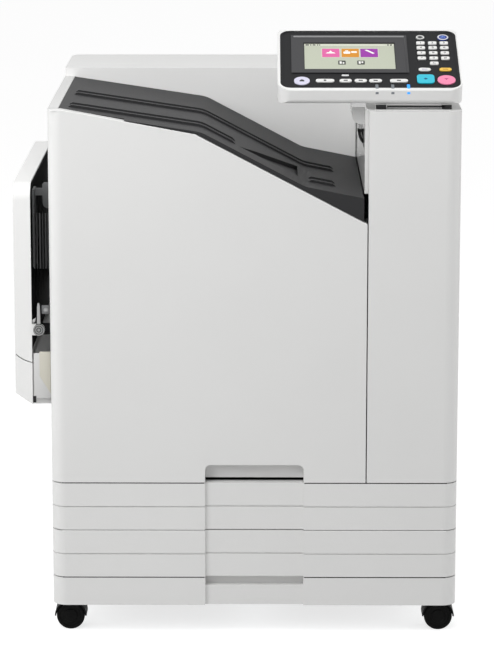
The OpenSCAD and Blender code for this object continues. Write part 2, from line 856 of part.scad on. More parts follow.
// Wall of the paper exit beside the output tray, with the fairing over the exit slot
module exit_cover() placed() color("whitesmoke") {
    x0 = exit_x + exit_gap;
    x1 = x0 + cover_t;
    slot_z = tower_z - exit_slot_drop;
    slot_top = slot_z + exit_slot_h;
    y0 = wrap_y + seam;
    y1 = deck_d - play;
    difference() {
        union() {
            block([x0, y0, deck_foot.y + exit_foot], [x1, y1, tower_z]);
            block([x0, y0, deck_foot.y + exit_foot], [tower_x + cover_t, y0 + cover_t, tower_z - cover_t]);
            block([x0, y0, slot_top + wall_gap], [x1 + rail_in, y1, slot_top + wall_gap + cover_t]);
            for (y = [y0, deck_d - exit_ear_y])
                block([x0, y, slot_z - fairing_h], [x1 + exit_ear_w, y + cover_t, slot_top + wall_gap]);
            along_y(fairing_y, fairing_y + fairing_l)
                soft_rect([x0 - fairing_in, tower_z - fairing_h], [x1, tower_z], [fairing_r, 0, 0, cover_t]);
        }
        block([x0 - over, exit_slot_y, slot_z], [x1 + over, deck_d - exit_slot_rear, slot_top]);
        rod_y(x0 + cover_t + exit_axle_in, tower_z - exit_axle_drop, y0 - over, deck_d, exit_axle_r + run_fit);
    }
}

module exit_rollers() placed() color("#404040") {
    x = exit_x + exit_gap + cover_t + exit_axle_in;
    z = tower_z - exit_axle_drop;
    first = 90;
    rod_y(x, z, wrap_y + seam, deck_d - exit_ear_y + cover_t, exit_axle_r);
    for (i = [0 : 3])
        rod_y(x, z, first + i * exit_roller_pitch, first + exit_roller_w + i * exit_roller_pitch,
            exit_roller_r);
}

// Operation panel

// Places children on the panel: X along the hinge, Y up the slope, Z out of the face
module on_panel() translate([0, hinge_y, hinge_z]) rotate([panel_tilt, 0, 0]) children();

module panel_bracket() placed() color("gainsboro") {
    plate_t = 1.5;
    lug_r = knuckle_r + over;
    for (lug = panel_lugs) {
        rod_x(hinge_y, hinge_z, lug.x, lug.y, lug_r);
        block([lug.x, hinge_y - bracket_neck, tower_z], [lug.y, hinge_y + bracket_neck, hinge_z]);
    }
    block([panel_lugs[0].x, hinge_y - bracket_foot, tower_z],
        [panel_lugs[1].y, hinge_y + bracket_foot, tower_z + plate_t]);
    rod_x(hinge_y, hinge_z, panel_lugs[0].x, panel_lugs[1].y, hinge_pin_r);
}

module panel_outline() {
    soft_rect([panel_x0, panel_front], [panel_x1, panel_front + panel_l],
        [panel_corner_r, panel_corner_r, panel_rear_r, panel_rear_r]);
}

// Outline of the fascia, drawn in by inset
module fascia_outline(inset = 0) {
    soft_rect([fascia_x0 + inset, fascia_v0 + inset],
        [fascia_x0 + fascia_w - inset, fascia_v0 + fascia_l - inset],
        [fascia_corner_r, fascia_corner_r, fascia_rear_r, fascia_rear_r] - all_round(inset));
}

module panel_housing() placed() color("whitesmoke") {
    x0 = panel_lugs[0].y + play;
    x1 = panel_lugs[1].x - play;
    seat = fascia_top - fascia_t;
    on_panel() difference() {
        union() {
            intersection() {
                rise(panel_drop, panel_top) panel_outline();
                along_x(panel_x0 - over, panel_x1 + over)
                    soft_rect([panel_front, panel_drop], [panel_front + panel_l, panel_top],
                        [panel_edge_r, panel_edge_r, cover_t, cover_t]);
            }
            rod_x(0, 0, x0, x1, knuckle_r);
            block([x0, -knuckle_r, 0], [x1, knuckle_r, panel_drop + over]);
        }
        rise(seat, panel_top + over) fascia_outline();
        rise(seat - tub_d, panel_top + over) fascia_outline(tub_edge);
        rod_x(0, 0, panel_x0, panel_x1, hinge_pin_r + run_fit);
        for (lug = panel_lugs) rod_x(0, 0, lug.x - play, lug.y + play, knuckle_r + over + play);
    }
}

module panel_fascia() placed() color("#303030") {
    screen = fascia_point(screen_share);
    half = [screen_w, screen_h] / 2;
    on_panel() difference() {
        union() {
            rise(fascia_top - fascia_t, fascia_top) fascia_outline(lay_fit / 2);
            rise(fascia_top - fascia_t, fascia_top + bezel_h) soft_rect(
                screen - half - [bezel_side, bezel_foot], screen + half + [bezel_side, bezel_head],
                all_round(bezel_r));
        }
        rise(fascia_top - fascia_t - over, panel_top + bezel_h + over) {
            translate(screen) square([screen_w + key_fit, screen_h + key_fit], center = true);
            for (share = [power_share, wake_share, stop_share, home_share])
                translate(fascia_point(share)) circle(key_dia(share) / 2 + key_fit);
            start_outline(key_fit);
            for (share = [reset_share, interrupt_share]) pill_outline(share, pill_key, key_fit);
            for (i = [0 : 4]) menu_outline(i, key_fit);
            number_outlines(key_fit);
        }
    }
}

function key_dia(share) = share == power_share ? power_dia : share == wake_share ? wake_dia
    : share == stop_share ? stop_dia : home_dia;

module touch_screen() placed() color("#c8ccb8") on_panel()
    rise(fascia_top - fascia_t - tub_d, fascia_top + key_fit)
        translate(fascia_point(screen_share)) square([screen_w, screen_h], center = true);

module pill_outline(share, size, fit = 0) {
    p = fascia_point(share);
    translate(p) square([size.x - size.y, size.y + 2 * fit], center = true);
    for (side = [-1, 1]) translate(p + [side * (size.x - size.y) / 2, 0]) circle(size.y / 2 + fit);
}

module menu_outline(i, fit = 0) pill_outline([menu_shares[i], menu_row_share],
    [menu_widths[i], menu_key_h], fit);

module start_outline(fit = 0) {
    p = fascia_point(start_share);
    half = [start_side, start_side] / 2 + [fit, fit];
    soft_rect(p - half, p + half, all_round(start_r));
}

module number_outlines(fit = 0) {
    for (x = number_column_shares, y = number_row_shares) number_outline([x, y], fit);
    number_outline([number_column_shares[1], clear_row_share], fit);
}

module number_outline(share, fit = 0) {
    p = fascia_point(share);
    half = number_key / 2 + [fit, fit];
    soft_rect(p - half, p + half, all_round(number_key_r));
}

// A key from its outline: the cap passes through the fascia
module key(tone) placed() color(tone) on_panel()
    rise(fascia_top + key_rise - key_len, fascia_top + key_rise) children();

module round_key(share, tone) key(tone) translate(fascia_point(share)) circle(key_dia(share) / 2);

module power_key() round_key(power_share, "#2040a0");
module wake_key() round_key(wake_share, "gray");
module stop_key() round_key(stop_share, "#ff9bbf");
module home_key() round_key(home_share, "white");
module start_key() key("#00c0f0") start_outline();
module reset_key() key("white") pill_outline(reset_share, pill_key);
module interrupt_key() key("#ffd860") pill_outline(interrupt_share, pill_key);
module number_keys() key("white") number_outlines();
module menu_key_1() key("white") menu_outline(0);
module menu_key_2() key("white") menu_outline(1);
module menu_key_3() key("white") menu_outline(2);
module menu_key_4() key("white") menu_outline(3);
module menu_key_5() key("white") menu_outline(4);

// Drawers

module tray_front(i) placed() color("gainsboro") {
    z0 = tray_z(i);
    z1 = z0 + tray_pitch - seam;
    mid = (z0 + z1) / 2;
    half = column_w / 2;
    outer = half + cover_t;
    difference() {
        union() {
            intersection() {
                union() {
                    wall_ring(z0, z1);
                    rise(z0, z0 + cover_t) plan();
                    rise(z1 - cover_t, z1) plan();
                    rise(mid - cover_t, mid + cover_t) plan();
                }
                block([-side_x - over, -over, z0], [side_x + over, wrap_y, z1]);
            }
            block([-outer, over, z0], [outer, column_d + cover_t, z1]);
        }
        block([-half, -over, z0 - over], [half, column_d, z1 + over]);
        // Groove across the middle of the front
        rise(mid - seam / 2, mid + seam / 2) difference() {
            translate([0, body_d / 2]) square([body_w + 2 * over, body_d + 2 * over], center = true);
            plan(groove_d);
        }
        block([-half, -over, mid - seam / 2], [half, column_d + groove_d, mid + seam / 2]);
    }
}

module tray_bin(i) placed() color("#505050") {
    z0 = tray_z(i);
    z1 = z0 + tray_pitch - seam;
    bin_foot = 10;
    bin_head = 14;
    floor_z = z0 + bin_foot;
    wall_top = z0 + tray_pitch - bin_head;
    half = side_x - bin_in;
    runner_z = z0 + rail_z + sheet_t + play;
    runner_y = wrap_y + rib_in;
    y1 = body_d - bin_gap;
    block([-half - post_gap, wrap_y, z0], [half + post_gap, wrap_y + sheet_t, z1]);
    difference() {
        block([-half, wrap_y, floor_z], [half, y1, wall_top]);
        block([sheet_t - half, wrap_y + sheet_t, floor_z + sheet_t],
            [half - sheet_t, y1 - sheet_t, wall_top + over]);
    }
    both_sides() block([half - over, runner_y, runner_z], [half + post_gap - play, y1, runner_z + sheet_t]);
}

module tray_front_upper() tray_front(1);
module tray_bin_upper() tray_bin(1);
module tray_front_lower() tray_front(0);
module tray_bin_lower() tray_bin(0);

// Side feeder

// Lower housing: its upper side is cut to the swing of the folding tray, and its front end steps back inside
module feeder_housing() placed() color("gainsboro") {
    x1 = recess_x - cover_t - play;
    top = flap_z - seam;
    difference() {
        along_y(feeder_y, feeder_y1) housing_profile(0, x1, top);
        difference() {
            along_y(feeder_y + end_step + cover_t, feeder_y1 - cover_t)
                housing_profile(cover_t, x1 + over, top - cover_t);
            rod_y(pivot.x, pivot.y, feeder_y, feeder_y1, swing_r + cover_t);
        }
        rod_y(pivot.x, pivot.y, feeder_y - over, feeder_y1 + over, swing_r);
        block([flap_inner, feeder_y - over, feeder_z], [x1 + over, feeder_y + end_step, top + over]);
    }
}

module housing_profile(inset, x1, top) {
    z0 = feeder_z + cover_t + inset;
    polygon([[feeder_x + inset, top], [feeder_x + inset, z0 + feeder_bevel_h],
        [feeder_x + inset + feeder_bevel_w, z0], [x1, z0], [x1, top]]);
}

// Recess in the body that the tray folds against, with the pivot arms and the stay lever
module feeder_frame() placed() color("#202020") {
    y0 = feeder_y - recess_gap;
    y1 = feeder_y1 + recess_gap;
    z0 = feeder_z;
    z1 = flap_top + recess_gap + cover_t;
    back = recess_x - cover_t;
    arm_y = lug_t + play;
    mid_room = 75;
    difference() {
        block([-side_x, y0 - cover_t, z0], [recess_x, y1 + cover_t, z1]);
        block([-side_x - over, y0, z0 + cover_t], [back, y1, z1 - cover_t]);
    }
    for (y = [y0 + feeder_rib_in : feeder_rib_pitch : y1 - feeder_rib_in]) if (abs(y - feeder_mid) > mid_room)
        block([back - feeder_rib_d, y, pivot.y + swing_r + lug_r], [back, y + cover_t, z1 - cover_t]);
    feeder_arm(feeder_y + arm_y, feeder_y - feeder_head_t, feeder_y - play);
    feeder_arm(feeder_y1 - arm_y - feeder_arm_t, feeder_y1 + play, feeder_y1 + feeder_head_t);
    // Stay lever on the front head
    along_y(feeder_y - feeder_head_t, feeder_y - play) polygon([pivot + [-lever_w, 0], pivot + [lever_w, 0],
        pivot + [lever_w / 2, lever_l], pivot + [-lever_w / 2, lever_l]]);
    // Ears of the pick-up roller
    for (y = [feeder_mid - mid_room + post_w / 2,
        feeder_mid + mid_room - post_w / 2 - pickup_ear_t]) difference() {
        block([pickup_x - lug_r, y, pickup_z - lug_r], [back, y + pickup_ear_t, pickup_z + lug_r]);
        rod_y(pickup_x, pickup_z, y - over, y + pickup_ear_t + over, pickup_axle_r + run_fit);
    }
}

// Pivot arm at y, whose pin ends in a head from head_y0 to head_y1
module feeder_arm(y, head_y0, head_y1) {
    rod_y(pivot.x, pivot.y, y, y + feeder_arm_t, lug_r);
    block([pivot.x, y, pivot.y - lug_r], [recess_x - cover_t, y + feeder_arm_t, pivot.y + lug_r]);
    rod_y(pivot.x, pivot.y, min(y, head_y0), max(y + feeder_arm_t, head_y1), pivot_r);
    rod_y(pivot.x, pivot.y, head_y0, head_y1, lug_r);
}

module feed_roller() placed() color("#606060") {
    half = 62;
    rod_y(pickup_x, pickup_z, feeder_mid - half, feeder_mid + half, pickup_axle_r);
    for (y = [feeder_mid - pickup_gap - pickup_w, feeder_mid + pickup_gap])
        rod_y(pickup_x, pickup_z, y, y + pickup_w, pickup_r);
}

module flap_outline(edge = 0) {
    soft_rect([feeder_y + edge, flap_z + edge], [feeder_y1 - edge, flap_top - edge],
        [flap_foot_r, flap_foot_r, flap_corner - edge, flap_corner - edge]);
}

// Tray shell: its ends reach down to the swing, so that no gap shows above the lower housing
module side_tray_shell() placed() color("gainsboro") {
    difference() {
        union() {
            difference() {
                along_x(feeder_x, flap_inner) flap_outline();
                along_x(feeder_x + cover_t, flap_inner + over) flap_outline(cover_t);
            }
            for (y = [feeder_y, feeder_y1 - cover_t]) intersection() {
                rod_y(pivot.x, pivot.y, y, y + cover_t, swing_r - seam);
                block([feeder_x, y, pivot.y - swing_r], [flap_inner, y + cover_t, flap_z + cover_t]);
            }
            for (y = [feeder_y, feeder_y1 - lug_t]) {
                rod_y(pivot.x, pivot.y, y, y + lug_t, lug_r);
                block([feeder_x + cover_t, y, pivot.y - lug_r], [pivot.x, y + lug_t, pivot.y + lug_r]);
            }
        }
        rod_y(pivot.x, pivot.y, feeder_y - over, feeder_y1 + over, pivot_r + run_fit);
    }
}

module side_tray_bed() placed() color("#303030") {
    edge = cover_t + flap_foot_r;
    slot_d = 1.5;
    slot_w = 6;
    slot_in = 90;
    slot_pitch = 60;
    slot_foot = 60;
    slot_head = 40;
    post_in = 70;
    difference() {
        along_x(flap_inner - bed_t, flap_inner) flap_outline(edge);
        for (y = [feeder_y + slot_in : slot_pitch : feeder_y1 - slot_in])
            block([flap_inner - slot_d, y, flap_z + slot_foot],
                [flap_inner + over, y + slot_w, flap_top - slot_head]);
    }
    for (y = [feeder_y + post_in, feeder_y1 - post_in - slot_w],
        z = [flap_z + slot_head, flap_top - slot_foot])
        block([feeder_x + cover_t, y, z], [flap_inner - bed_t, y + slot_w, z + post_gap]);
}

module paper_guide(y) placed() color("#707070") {
    foot_t = 4;
    tip_x = guide_tip - side_x;
    top = flap_top - guide_drop;
    foot_z = top - guide_r;
    along_y(y, y + guide_t)
        soft_rect([flap_inner + guide_tip, top - guide_h], [tip_x, top],
            [guide_r, guide_r, guide_r, guide_r / 2]);
    block([flap_inner + play / 2, y - guide_foot, foot_z - guide_plate_l],
        [flap_inner + foot_t, y + guide_t + guide_foot, foot_z]);
    block([flap_inner + play / 2, y, top - guide_h / 2], [flap_inner + guide_tip + over, y + guide_t, foot_z]);
}

module paper_guide_front() paper_guide(feeder_y + guide_in);
module paper_guide_rear() paper_guide(feeder_y1 - guide_in - guide_t);

// Print unit

module belt_frame() placed() color("silver") {
    half = roller_r - wall_gap;
    y0 = belt_y - belt_plate_t - belt_plate_gap;
    y1 = belt_y + belt_w + belt_plate_gap;
    leg_w = 20;
    legs = [nose_x + 3 * leg_w, roller_x - 4 * leg_w];
    bed_z1 = belt_z + roller_r - play;
    difference() {
        union() {
            for (y = [y0, y1]) {
                block([nose_x, y, belt_z - half], [roller_x, y + belt_plate_t, belt_z + half]);
                for (x = [nose_x, roller_x]) rod_y(x, belt_z, y, y + belt_plate_t, half);
                for (x = legs) block([x, y, bar_z], [x + leg_w, y + belt_plate_t, belt_z]);
            }
            rod_y(nose_x, belt_z, y0, y1 + belt_plate_t, roller_r - play);
            rod_y(lever_x, belt_z, y0 - lever_t - cover_t, y0 + belt_plate_t, lever_pin_r);
            block([nose_x, y0, bed_z1 - belt_plate_t],
                [roller_x - roller_r - axle_l, y1 + belt_plate_t, bed_z1]);
        }
        for (y = [y0, y1])
            rod_y(roller_x, belt_z, y - over, y + belt_plate_t + over, axle_r + run_fit);
    }
}

module belt_roller() placed() color("gray") {
    rod_y(roller_x, belt_z, belt_y, belt_y + belt_w, roller_r - play / 2);
    rod_y(roller_x, belt_z, belt_y - axle_l, belt_y + belt_w + axle_l, axle_r);
}

module transfer_belt() placed() color("#404040") along_y(belt_y, belt_y + belt_w) difference() {
    belt_loop(roller_r + belt_t);
    belt_loop(roller_r);
}

module belt_loop(r) {
    translate([nose_x, belt_z - r]) square([belt_span, 2 * r]);
    for (x = [nose_x, roller_x]) translate([x, belt_z]) circle(r);
}

module print_head_unit() placed() color("#d0d0d0") {
    z0 = belt_top + head_gap;
    z1 = z0 + head_h;
    x0 = nose_x + head_in;
    x1 = roller_x - head_in_right;
    y0 = belt_y + head_in;
    y1 = belt_y + belt_w - head_in;
    pitch = (x1 - x0) / head_count;
    block([x0, y0, z1], [x1, y1, z1 + head_body_h]);
    for (i = [0 : head_count - 1])
        block([x0 + pitch * (i + head_start_share), y0 + axle_l, z0],
            [x0 + pitch * (i + head_end_share), y1 - axle_l, z1]);
    // Hangers to the side plates
    for (y = [y0 + hanger_w, y1 - 2 * hanger_w]) {
        block([recess_x + sheet_t, y, z1 + hanger_w], [x0, y + hanger_w, z1 + 2 * hanger_w]);
        block([x1, y, z1 + hanger_w], [bay_wall_x - sheet_t, y + hanger_w, z1 + 2 * hanger_w]);
    }
}

module ink_bay() placed() color("#d8d8d8") {
    low = [ink_x(0) - ink_r - ink_edge, shelf_z + sheet_t];
    high = [ink_x(3) + ink_r + ink_edge, ink_z + ink_r + ink_edge];
    y1 = ink_y + ink_l;
    difference() {
        union() {
            for (i = [0 : 3]) rod_y(ink_x(i), ink_z, ink_y, y1 + ink_rear, ink_r + ink_tube_t);
            for (y = [ink_y, y1]) block([low.x, y, low.y], [high.x, y + ink_plate_t, high.y]);
        }
        for (i = [0 : 3]) rod_y(ink_x(i), ink_z, ink_y - over, y1 + ink_rear - ink_plate_t, ink_r);
    }
}

module ink_cartridge(i, tone) placed() color(tone) {
    r = ink_dia / 2;
    rear = 5;
    tip_r = 12;
    tip_l = 8;
    edge = 4;
    bevel = 6;
    cap_in = 8;
    cap_l = 12;
    slot_w = 16;
    slot_l = 48;
    slot_in = 18;
    translate([ink_x(i), ink_y + ink_l + rear, ink_z]) rotate([90, 0, 0]) difference() {
        rotate_extrude() polygon([[0, 0], [tip_r, 0], [tip_r, tip_l], [r - edge, tip_l],
            [r, tip_l + bevel], [r, ink_l],
            [r - edge / 2, ink_l + edge], [r - cap_in, ink_l + cap_l], [0, ink_l + cap_l]]);
        // Hollows on both sides of the web that a hand holds
        for (side = [-1, 1]) translate([side * slot_in, 0, ink_l + edge / 2])
            rise(0, cap_l) square([slot_w, slot_l], center = true);
    }
}

module ink_cartridge_black() ink_cartridge(0, "#202020");
module ink_cartridge_cyan() ink_cartridge(1, "#20a0d0");
module ink_cartridge_magenta() ink_cartridge(2, "#d03080");
module ink_cartridge_yellow() ink_cartridge(3, "#e8d020");

// Lever that lowers the belt unit, on the front of the belt frame

module jam_lever() placed() color("#40a060") {
    y1 = belt_y - belt_plate_t - belt_plate_gap - play;
    y0 = y1 - lever_t;
    foot = belt_z - lever_drop;
    difference() {
        union() {
            rod_y(lever_x, belt_z, y0, y1, lever_hub_r);
            block([lever_x - lever_hub_r / 2, y0, foot], [lever_x + lever_hub_r / 2, y1, belt_z]);
            rod_y(lever_x, foot, y0 - lever_grip_l, y1, lever_grip_r);
        }
        rod_y(lever_x, belt_z, y0 - over, y1 + over, lever_pin_r + run_fit);
    }
}

// Rear connections

module power_inlet() placed() color("#202020") {
    low = [inlet.x - inlet_w / 2, inlet.y - inlet_h / 2];
    high = [inlet.x + inlet_w / 2, inlet.y + inlet_h / 2];
    y0 = body_d - inlet_depth;
    wall = 6;
    rim_side = 11;
    rim_top = 5;
    pin_w = 2;
    pin_h = 7;
    pin_pitch = 7;
    floor_t = 4;
    difference() {
        block([low.x, y0, low.y], [high.x, body_d, high.y]);
        along_y(y0 + wall, body_d + over) soft_rect(
            low + [rim_side, rim_top], high - [rim_side, rim_top], [pin_w / 2, pin_w / 2, rim_top, rim_top]);
    }
    for (side = [-1, 0, 1]) translate([inlet.x + side * pin_pitch, 0, inlet.y])
        block([-pin_w / 2, y0 + wall - over, -pin_h / 2], [pin_w / 2, body_d - floor_t, pin_h / 2]);
    // Cage that carries the rocker
    x1 = low.x - switch_gap;
    x0 = x1 - switch_w;
    z0 = inlet.y - switch_h / 2;
    difference() {
        block([x0, y0, z0], [x1, body_d, z0 + switch_h]);
        block([x0 + switch_wall, y0 + floor_t, z0 + switch_wall],
            [x1 - switch_wall, body_d + over, z0 + switch_h - switch_wall]);
        rod_x(body_d - switch_pin_in, inlet.y, x0 - over, x1 + over, switch_pin_r);
    }
    block([x1 - over, y0, inlet.y - wall], [low.x + over, y0 + floor_t, inlet.y + wall]);
}

module power_switch() placed() color("#181818") {
    x1 = inlet.x - inlet_w / 2 - switch_gap - switch_wall - play;
    x0 = x1 - switch_w + 2 * switch_wall + 2 * play;
    y = body_d - switch_pin_in;
    pin_l = 2.4;
    rear = 5;
    rim = 5.5;
    upper_reach = 7;
    lower_reach = 10;
    half = switch_h / 2 - rim;
    rod_x(y, inlet.y, x0 - pin_l, x1 + pin_l, switch_pin_r - run_fit);
    along_x(x0, x1) translate([y, inlet.y]) polygon([[-rear, -rear], [-rear, rear], [rear, half],
        [upper_reach, half], [rear, 0], [lower_reach, -half], [rear, -half]]);
}

// Casters

// Places children at a swivel axis; the trail runs towards the outside
module at_caster(side, end) placed()
    translate([side * (side_x - caster_in), end > 0 ? body_d - caster_y : caster_y, 0]) children();

module caster_yoke(side, end) at_caster(side, end) color("#202020") {
    x = side * caster_trail;
    hood_r = wheel_r + hood_fit + hood_t;
    web = caster_gap - 2 * play;
    half = caster_gap / 2 + wheel_w + over;
    difference() {
        union() {
            intersection() {
                rod_y(x, wheel_r, -half, half, hood_r);
                block([x - 2 * hood_r, -2 * half, wheel_r], [x + 2 * hood_r, 2 * half, wheel_r + 2 * hood_r]);
            }
            rod_y(x, wheel_r, -web / 2, web / 2, wheel_r / 2);
            rise(wheel_r + hood_r - 4 * hood_t, base_z - play) circle(collar_r);
            rise(wheel_r, base_z + stem_l) circle(stem_r);
        }
        for (y = [[-half - over, -web / 2], [web / 2, half + over]])
            rod_y(x, wheel_r, y[0], y[1], wheel_r + hood_fit);
        rod_y(x, wheel_r, -half, half, caster_axle_r + run_fit);
    }
}

module caster_wheel(side, end) at_caster(side, end) color("#303030")
    translate([side * caster_trail, 0, wheel_r]) {
        reach = caster_gap / 2 + wheel_w / 2;
        rod_y(0, 0, -reach, reach, caster_axle_r);
        for (turn = [0, 180]) rotate([0, 0, turn]) translate([0, caster_gap / 2, 0]) rotate([-90, 0, 0])
            rotate_extrude() wheel_section();
    }

// Half section of a wheel with its soft tread and the hollow around its hub
module wheel_section() {
    soft = 2;
    dish = 1.5;
    rim = 5;
    hub = 11;
    polygon([[0, 0], [wheel_r - soft / 2, 0], [wheel_r, dish], [wheel_r, wheel_w - soft],
        [wheel_r - soft, wheel_w],
        [wheel_r - rim, wheel_w], [wheel_r - rim - over, wheel_w - dish], [hub + over, wheel_w - dish],
        [hub, wheel_w], [0, wheel_w]]);
}

module caster_yoke_front_left() caster_yoke(-1, -1);
module caster_yoke_front_right() caster_yoke(1, -1);
module caster_yoke_rear_left() caster_yoke(-1, 1);
module caster_yoke_rear_right() caster_yoke(1, 1);
module caster_wheel_front_left() caster_wheel(-1, -1);
module caster_wheel_front_right() caster_wheel(1, -1);
module caster_wheel_rear_left() caster_wheel(-1, 1);
module caster_wheel_rear_right() caster_wheel(1, 1);

base_frame();
base_skirt();
chassis_frame();
left_cover();
right_cover();
rear_cover();
top_cover();
output_tray();
tower_cover();
exit_cover();
panel_bracket();
feeder_housing();
feeder_frame();
print_head_unit();
belt_frame();
ink_bay();
power_inlet();
front_cover();
tray_front_upper();
tray_bin_upper();
tray_front_lower();
tray_bin_lower();
side_tray_shell();
side_tray_bed();
paper_guide_front();
paper_guide_rear();
feed_roller();
panel_housing();
panel_fascia();
touch_screen();
ink_cartridge_black();
ink_cartridge_cyan();
ink_cartridge_magenta();
ink_cartridge_yellow();
caster_yoke_front_left();
caster_yoke_front_right();
caster_yoke_rear_left();
caster_yoke_rear_right();
caster_wheel_front_left();
caster_wheel_front_right();
caster_wheel_rear_left();
caster_wheel_rear_right();
transfer_belt();
belt_roller();
jam_lever();
power_switch();
exit_rollers();
power_key();
wake_key();
number_keys();
reset_key();
interrupt_key();
start_key();
stop_key();
home_key();
menu_key_1();
menu_key_2();
menu_key_3();
menu_key_4();
menu_key_5();
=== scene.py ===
# %% [markdown]
# A floor-standing colour printer. The cabinet, its drawers, the folding side tray and the operation panel
# come ready made as the frame. This lesson gives them their finishes, adds the small pieces that are too fine
# for the frame, and sets up a camera and soft studio light.

# %% Load the frame
import math

import bmesh
import bpy
from mathutils import Matrix, Vector


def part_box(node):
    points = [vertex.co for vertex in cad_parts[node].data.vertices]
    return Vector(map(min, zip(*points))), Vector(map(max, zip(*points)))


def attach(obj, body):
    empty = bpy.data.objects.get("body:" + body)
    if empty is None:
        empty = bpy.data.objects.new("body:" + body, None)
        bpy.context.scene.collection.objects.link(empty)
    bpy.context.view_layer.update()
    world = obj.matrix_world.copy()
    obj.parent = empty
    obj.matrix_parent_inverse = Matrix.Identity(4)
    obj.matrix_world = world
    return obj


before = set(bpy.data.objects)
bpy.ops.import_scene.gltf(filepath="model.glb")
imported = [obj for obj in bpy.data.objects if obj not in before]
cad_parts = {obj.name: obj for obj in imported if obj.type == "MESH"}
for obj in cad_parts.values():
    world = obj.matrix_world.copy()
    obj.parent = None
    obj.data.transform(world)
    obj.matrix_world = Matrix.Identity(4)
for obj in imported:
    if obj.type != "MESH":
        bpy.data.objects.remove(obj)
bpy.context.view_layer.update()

# %% [markdown]
# Everything is placed in millimetres from three lines of the real machine: the middle of the skirt, the face
# of the front door and the floor. One function turns such a place into the scene's metres.

# %% Where the machine stands
MM = 0.001
skirt_low, skirt_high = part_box("base_skirt")
door_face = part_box("front_cover")[0].y
middle = (skirt_low.x + skirt_high.x) / 2


def at(x, y, z):
    """A place x right of the machine's middle, y behind its door face and z above the floor, from mm to metres."""
    return Vector((middle + x * MM, door_face + y * MM, z * MM))


print("middle of the machine:", round(middle, 4), "door face:", round(door_face, 4))

# %% [markdown]
# The photograph was taken from straight ahead with a long lens, from above the height of the panel. The lens
# is as long and the tilt as large as the slopes of the upper edges ask for.

# %% Camera
LENS_MM = 154.9
SENSOR_MM = 36
CAMERA_PLACE = (13.7, -4744.6, 1594.1)
CAMERA_TILT_DEG = 10.9
CAMERA_TURN_DEG = 0.32
CAMERA_SHIFT = -0.10
FARTHEST_M = 60

camera = bpy.data.objects.new("camera", bpy.data.cameras.new("camera"))
camera.data.lens = LENS_MM
camera.data.sensor_width = SENSOR_MM
camera.data.shift_y = CAMERA_SHIFT
camera.data.clip_end = FARTHEST_M
camera.location = at(*CAMERA_PLACE)
camera.rotation_euler = (math.radians(90 - CAMERA_TILT_DEG), 0, math.radians(CAMERA_TURN_DEG))
bpy.context.scene.collection.objects.link(camera)
bpy.context.scene.camera = camera
bpy.context.scene.view_settings.view_transform = "Standard"
print("camera:", LENS_MM, "mm lens,", CAMERA_TILT_DEG, "degrees down")

# %% [markdown]
# Every finish is a small tree of nodes. Colours are written as they look on a screen, so a function turns the
# hex value to the linear numbers that a shader works in. A second function adds any node with its settings
# and links, and a third one starts each finish with its surface shader.

# %% Helpers for finishes
COLOURS = {"data_type": "RGBA"}  # a Mix node with this mixes its sockets 6 and 7, and gives output 2


def linear(hex_colour, dim=1.0):
    """A hex colour as linear red, green, blue and alpha, dimmed if asked."""
    parts = [int(hex_colour[i:i + 2], 16) / 255 for i in (1, 3, 5)]
    return tuple(dim * (p / 12.92 if p <= 0.04045 else ((p + 0.055) / 1.055) ** 2.4) for p in parts) + (1.0,)


def add_node(tree, kind, settings=None, **sockets):
    """Adds a node. A socket goes by its name, or by i and its number, and takes a value or another's output."""
    added = tree.nodes.new(kind)
    for name, value in (settings or {}).items():
        setattr(added, name, value)
    for name, value in sockets.items():
        numbered = name[0] == "i" and name[1:].isdigit()
        socket = added.inputs[int(name[1:])] if numbered else added.inputs[name.replace("_", " ")]
        if isinstance(value, bpy.types.NodeSocket):
            tree.links.new(value, socket)
        else:
            socket.default_value = value
    return added


def new_finish(name, **surface_values):
    """A material to build on: its tree, its surface shader and the object's own coordinates."""
    finish = bpy.data.materials.new(name)
    finish.use_nodes = True
    tree = finish.node_tree
    surface = tree.nodes["Principled BSDF"]
    for socket, value in surface_values.items():
        surface.inputs[socket.replace("_", " ")].default_value = value
    place = tree.nodes.new("ShaderNodeTexCoord").outputs["Object"]
    return finish, tree, surface, place


print("white is", linear("#FFFFFF")[:3], "and mid grey is", [round(part, 3) for part in linear("#808080")[:3]])

# %% [markdown]
# The covers are injection-moulded ABS. The mould is spark-eroded, which leaves a fine matt grain of about
# 0.3 mm that spreads the highlights. The grain is drawn at 1.6 mm, because anything finer is lost at this
# distance, and the colour drifts a little over a hand's width, as thick mouldings do. One function makes them
# all, and each gets its own colour, gloss and depth of grain.

# %% Moulded plastic
GRAIN_MM = 1.6
DRIFT_MM = 180
DRIFT_SHADE = 0.96
GLOSS_SPREAD = 0.06


def moulded(name, colour, roughness, grain_mm=GRAIN_MM, depth_mm=0.05, coat=0.0, specular=0.5):
    """Moulded plastic that drifts between two close tones, with a spark-eroded grain."""
    finish, tree, surface, place = new_finish(name, IOR=1.53, Coat_Weight=coat, Specular_IOR_Level=specular)
    drift = add_node(tree, "ShaderNodeTexNoise", Vector=place, Scale=1 / (DRIFT_MM * MM), Detail=2.0)
    tone = add_node(tree, "ShaderNodeMix", COLOURS, Factor=drift.outputs["Fac"],
                    i6=linear(colour), i7=linear(colour, DRIFT_SHADE))
    grain = add_node(tree, "ShaderNodeTexNoise", Vector=place, Scale=1 / (grain_mm * MM), Detail=3.0, Roughness=0.6)
    gloss = add_node(tree, "ShaderNodeMapRange", Value=grain.outputs["Fac"],
                     To_Min=roughness - GLOSS_SPREAD, To_Max=roughness + GLOSS_SPREAD)
    relief = add_node(tree, "ShaderNodeBump", Height=grain.outputs["Fac"], Strength=0.35, Distance=depth_mm * MM)
    tree.links.new(tone.outputs[2], surface.inputs["Base Color"])
    tree.links.new(gloss.outputs["Result"], surface.inputs["Roughness"])
    tree.links.new(relief.outputs["Normal"], surface.inputs["Normal"])
    return finish


